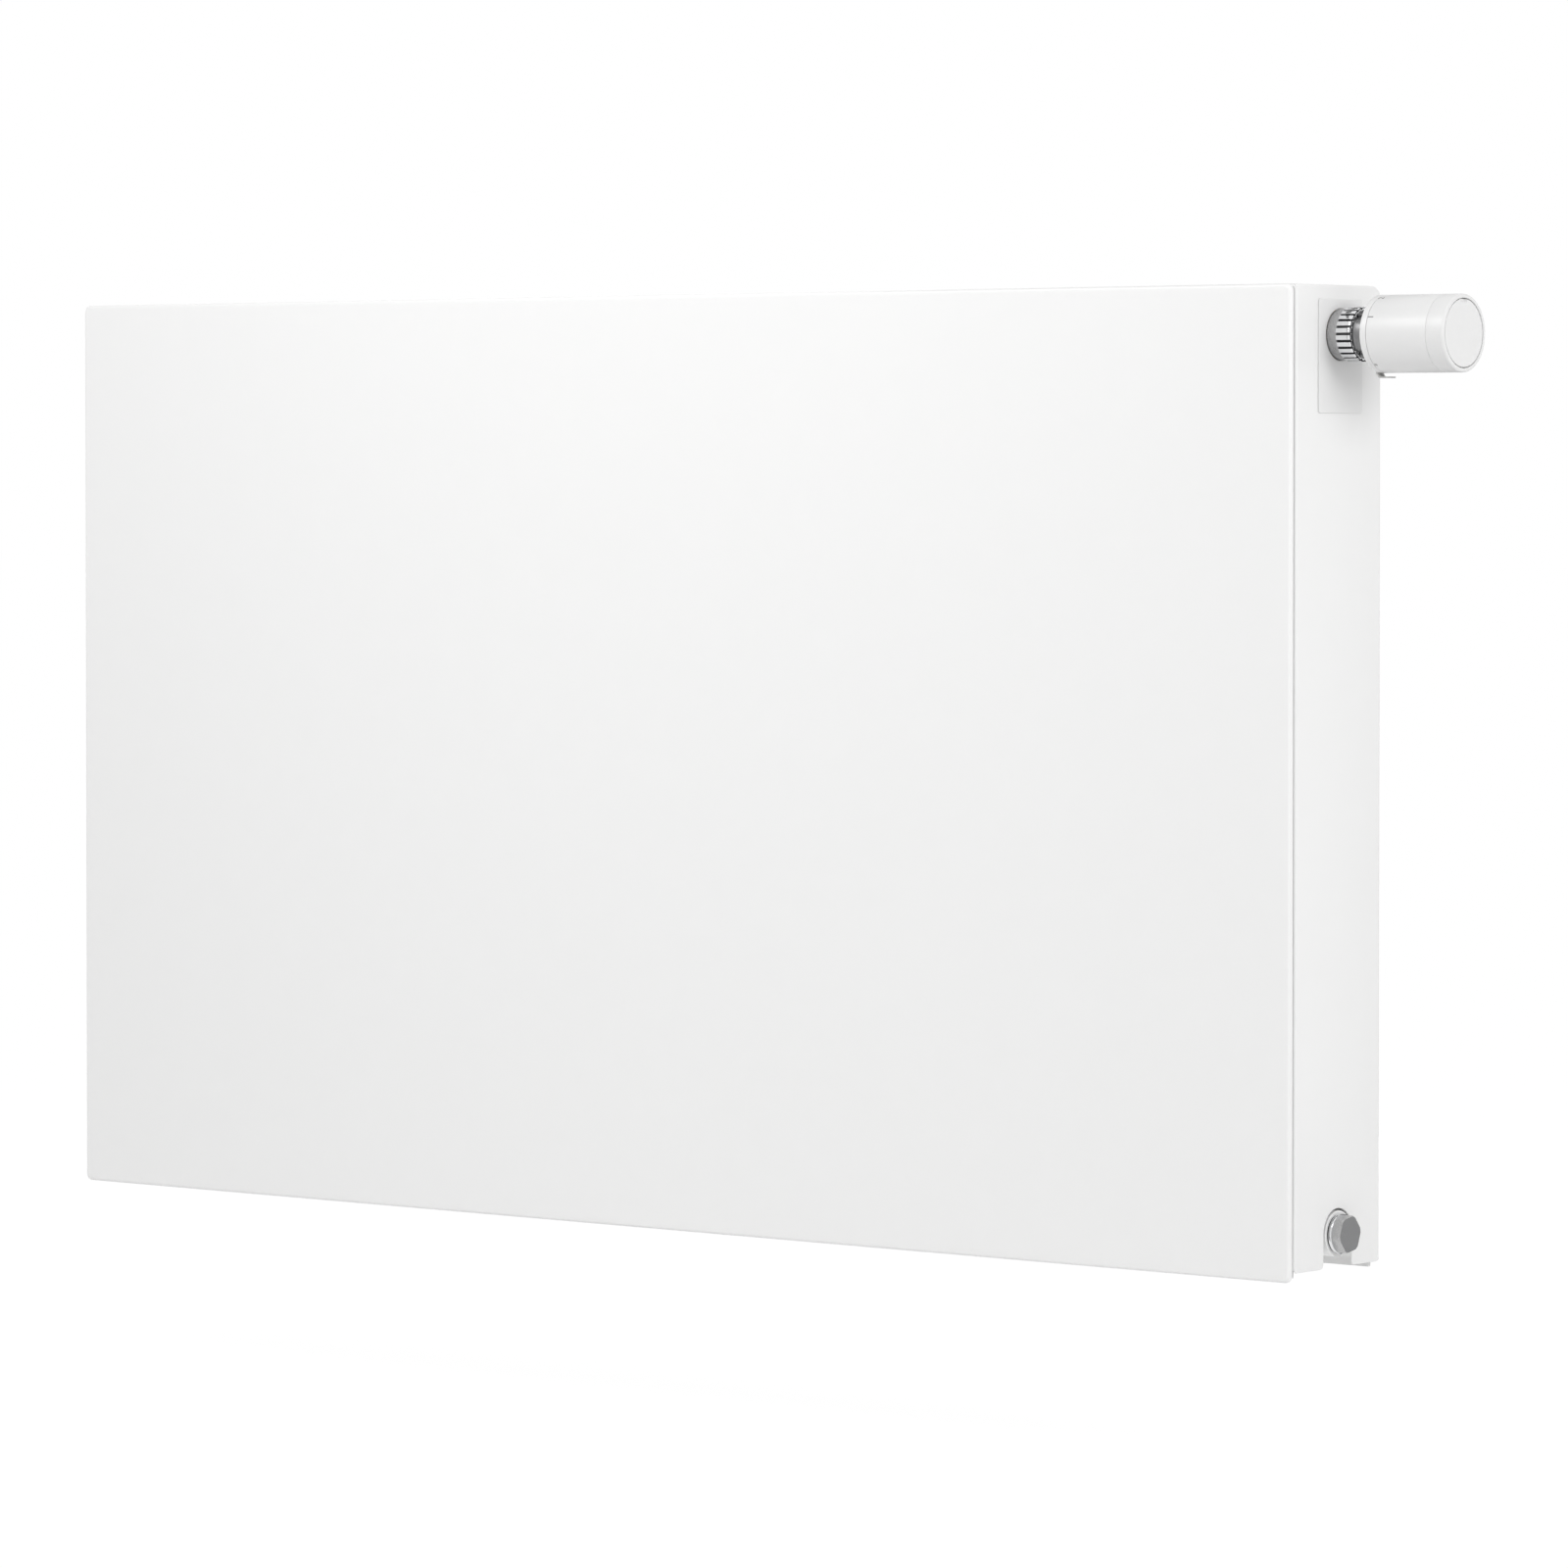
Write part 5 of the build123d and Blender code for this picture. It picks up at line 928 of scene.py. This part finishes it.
def top_grille():
    """Two skirts drawn out along x, and between them a filled face above and below, left open at the slots.
    A slot's rim is its outline grown and lowered by the rim's (grow, drop) points."""
    (x0, y0, _), (x1, y1, z1) = grille_low, grille_high
    blocks, faces, start = [], [], 0
    (ahead0, behind0), (ahead1, behind1) = skirts(0.0), skirts(GRILLE_SHEET)
    for section in (np.r_[ahead1[::-1], ahead0], np.r_[behind0, behind1[::-1]]):
        count = len(section)
        blocks += [np.c_[np.full(count, x), section] for x in (x0, x1)]
        faces += grid_faces(2, count, start=start)
        faces += [list(range(start, start + count)), list(range(start + count, start + 2 * count))]
        start += 2 * count
    columns = math.floor((x1 - x0 - END_MARGIN) / SLOT_PITCH)
    across = (np.arange(columns) - (columns - 1) / 2) * SLOT_PITCH
    along = (y0 + y1) / 2 + np.array([-SLOT_ROW, SLOT_ROW])
    centres = np.stack(np.meshgrid(across, along, indexing="ij"), axis=-1).reshape(-1, 1, 1, 2)
    slot, normal = rounded_outline(rectangle(-SLOT_HALF, SLOT_HALF), SLOT_HALF[0] - 0.001, 6)
    flat = centres + (slot[None] + normal[None] * SLOT_RIM[:, 0, None, None])[None]
    height = np.broadcast_to((z1 - SLOT_RIM[:, 1])[None, :, None, None], (*flat.shape[:3], 1))
    blocks.append(np.concatenate([flat, height], axis=-1).reshape(-1, 3))
    slots, levels, per_slot = flat.shape[:3]
    index = start + np.arange(slots * levels * per_slot).reshape(slots, levels, per_slot)
    one = np.array(grid_faces(levels, per_slot, wrap_columns=True))
    faces += (one[None] + index[:, 0, 0][:, None, None]).reshape(-1, 4).tolist()
    start += index.size
    face_ring = np.array(rectangle((x0, y0 + FRONT_BEND + FLAT_STRIP), (x1, y1 - REAR_BEND - FLAT_STRIP)))
    for level in (0, levels - 1):
        blocks.append(np.c_[face_ring, np.full(4, z1 - SLOT_RIM[level, 1])])
        corners = np.r_[start + np.arange(4), index[:, level].ravel()]
        faces += corners[np.array(fill_outline(face_ring, *flat[:, level]))].tolist()
        start += 4
    upper, lower = start - 8, start - 4
    for a, b in ((3, 0), (1, 2)):
        faces.append([upper + a, upper + b, lower + b, lower + a])
    return np.concatenate(blocks), faces


make_piece("slotted_top_grille", *top_grille(), "grille", "white_enamel", ["top_grille"], crisp=20)

# %% [markdown]
# ## Rear panel
# The back shows the pressed water channels. A pressed sheet is a height over a plane, so the panel is a
# height field: upright channels and a header along the top and the foot, joined by u = a + b - ab, which
# rounds where they meet. Spot welds in the valleys hold the two halves together.

# %% Rear panel
PITCH = 33.3
CHANNELS = 14  # on each side of the middle one
SEAM_HALF = 1.25
CHANNEL_RISE = 4.25
WELD_STEP = 40.0
panel_low, panel_high = node_box("rear_water_panel")
panel_mid = (panel_low[1] + panel_high[1]) / 2


def ramp(distance, crest, base):
    """1 inside the crest, 0 outside the base, and smooth between."""
    t = np.clip((base - distance) / (base - crest), 0, 1)
    return t * t * (3 - 2 * t)


def rear_panel():
    """depth = seam + rise * (a + b - ab), a: channels over x, b: headers over z, on both sides."""
    x = np.linspace(panel_low[0], panel_high[0], 477)
    near = np.linspace(-24, 24, 31)
    z = np.r_[LOW_PIPE_Z + near, np.linspace(LOW_PIPE_Z + 30, TOP_PIPE_Z - 30, 5), TOP_PIPE_Z + near]
    z = np.unique(np.clip(z, panel_low[2], panel_high[2]))
    x, z = np.meshgrid(x, z, indexing="ij")
    number = np.clip(np.round(x / PITCH), -CHANNELS, CHANNELS)
    upright = ramp(np.abs(x - number * PITCH), 7.0, 14.0) * ((z > LOW_PIPE_Z) & (z < TOP_PIPE_Z))
    level = np.maximum(ramp(np.abs(z - LOW_PIPE_Z), 12.5, 19.0), ramp(np.abs(z - TOP_PIPE_Z), 12.5, 19.0))
    level = level * ramp(np.abs(x), 481.0, 488.0)
    depth = SEAM_HALF + CHANNEL_RISE * (upright + level - upright * level)
    wall_side = np.stack([x, panel_mid + depth, z], axis=-1)
    room_side = np.stack([x, panel_mid - depth, z], axis=-1)
    rows, columns = x.shape
    faces = grid_faces(rows, columns) + grid_faces(rows, columns, start=rows * columns)
    rim = np.r_[np.arange(columns), np.arange(1, rows) * columns + columns - 1]
    way_back = (rows - 1) * columns + np.arange(columns - 2, -1, -1)
    rim = np.r_[rim, way_back, np.arange(rows - 2, 0, -1) * columns]
    after = np.roll(rim, -1)
    faces += np.stack([rim, after, after + rows * columns, rim + rows * columns], axis=-1).tolist()
    return np.concatenate([wall_side.reshape(-1, 3), room_side.reshape(-1, 3)]), faces


make_piece("pressed_rear_panel", *rear_panel(), "radiator", "white_enamel", ["rear_water_panel"], crisp=50)


def weld_spots():
    """A shallow dished lens, radius (0, 1.4, 2.2, 3) and height (0.05, 0.1, 0.3, 0), in every valley."""
    profile = np.array([(0.0, 0.05), (1.4, 0.1), (2.2, 0.3), (3.0, 0.0), (0.0, -0.3)])
    around = np.arange(12) * np.pi / 6
    r, h = profile[:, 0, None], profile[:, 1, None]
    spot = np.stack([r * np.cos(around), h + 0 * around, r * np.sin(around)], axis=-1).reshape(-1, 3)
    valley = (np.arange(-CHANNELS, CHANNELS) + 0.5) * PITCH
    level = np.arange(-5.5, 6) * WELD_STEP
    vx, vz = np.meshgrid(valley, level, indexing="ij")
    place = np.stack([vx, np.full_like(vx, panel_mid + SEAM_HALF), vz], axis=-1).reshape(-1, 1, 3)
    points = place + spot[None]
    one = np.array(grid_faces(5, 12, wrap_columns=True))
    faces = one[None] + (np.arange(len(place)) * len(spot))[:, None, None]
    return points, faces.reshape(-1, 4).tolist()


make_piece("rear_weld_spots", *weld_spots(), "radiator", "white_enamel", crisp=60)

# %% [markdown]
# ## Hanging straps
# Four bent straps are welded to the back, and the wall brackets hook into their pockets from below. A strap
# could be a curve with a bevel, but its section is not round, so its bent outline is drawn out over its
# height, as the limit clip is, with a small chamfer where it was cut.

# %% Hanging straps
STRAP_X, STRAP_Z = 382.95, 225.0
STRAP_HALF = 17.0


def straps():
    """Bent outline in (x, y), drawn out in z, at four places."""
    corners = [(-22.6, -12.5), (-13, -12.5), (-13, -2.5), (13, -2.5), (13, -12.5), (22.6, -12.5)]
    corners += [(22.6, -10), (15.5, -10), (15.5, 0), (-15.5, 0), (-15.5, -10), (-22.6, -10)]
    radii = [0.4, 0.6, 1.2, 1.2, 0.6, 0.4, 0.6, 1.5, 3.6, 3.6, 1.5, 0.6]
    one, one_faces = drawn_out(corners, radii, -STRAP_HALF, STRAP_HALF, 0.35, 7)
    places = np.array([(sx * STRAP_X, 0, sz * STRAP_Z) for sx in (-1, 1) for sz in (-1, 1)])
    points = places[:, None, :] + one[None]
    faces = [[i + start for i in face] for start in range(0, 4 * len(one), len(one)) for face in one_faces]
    return points, faces


make_piece("hanging_straps", *straps(), "radiator", "white_enamel", ["hanging_lugs"])
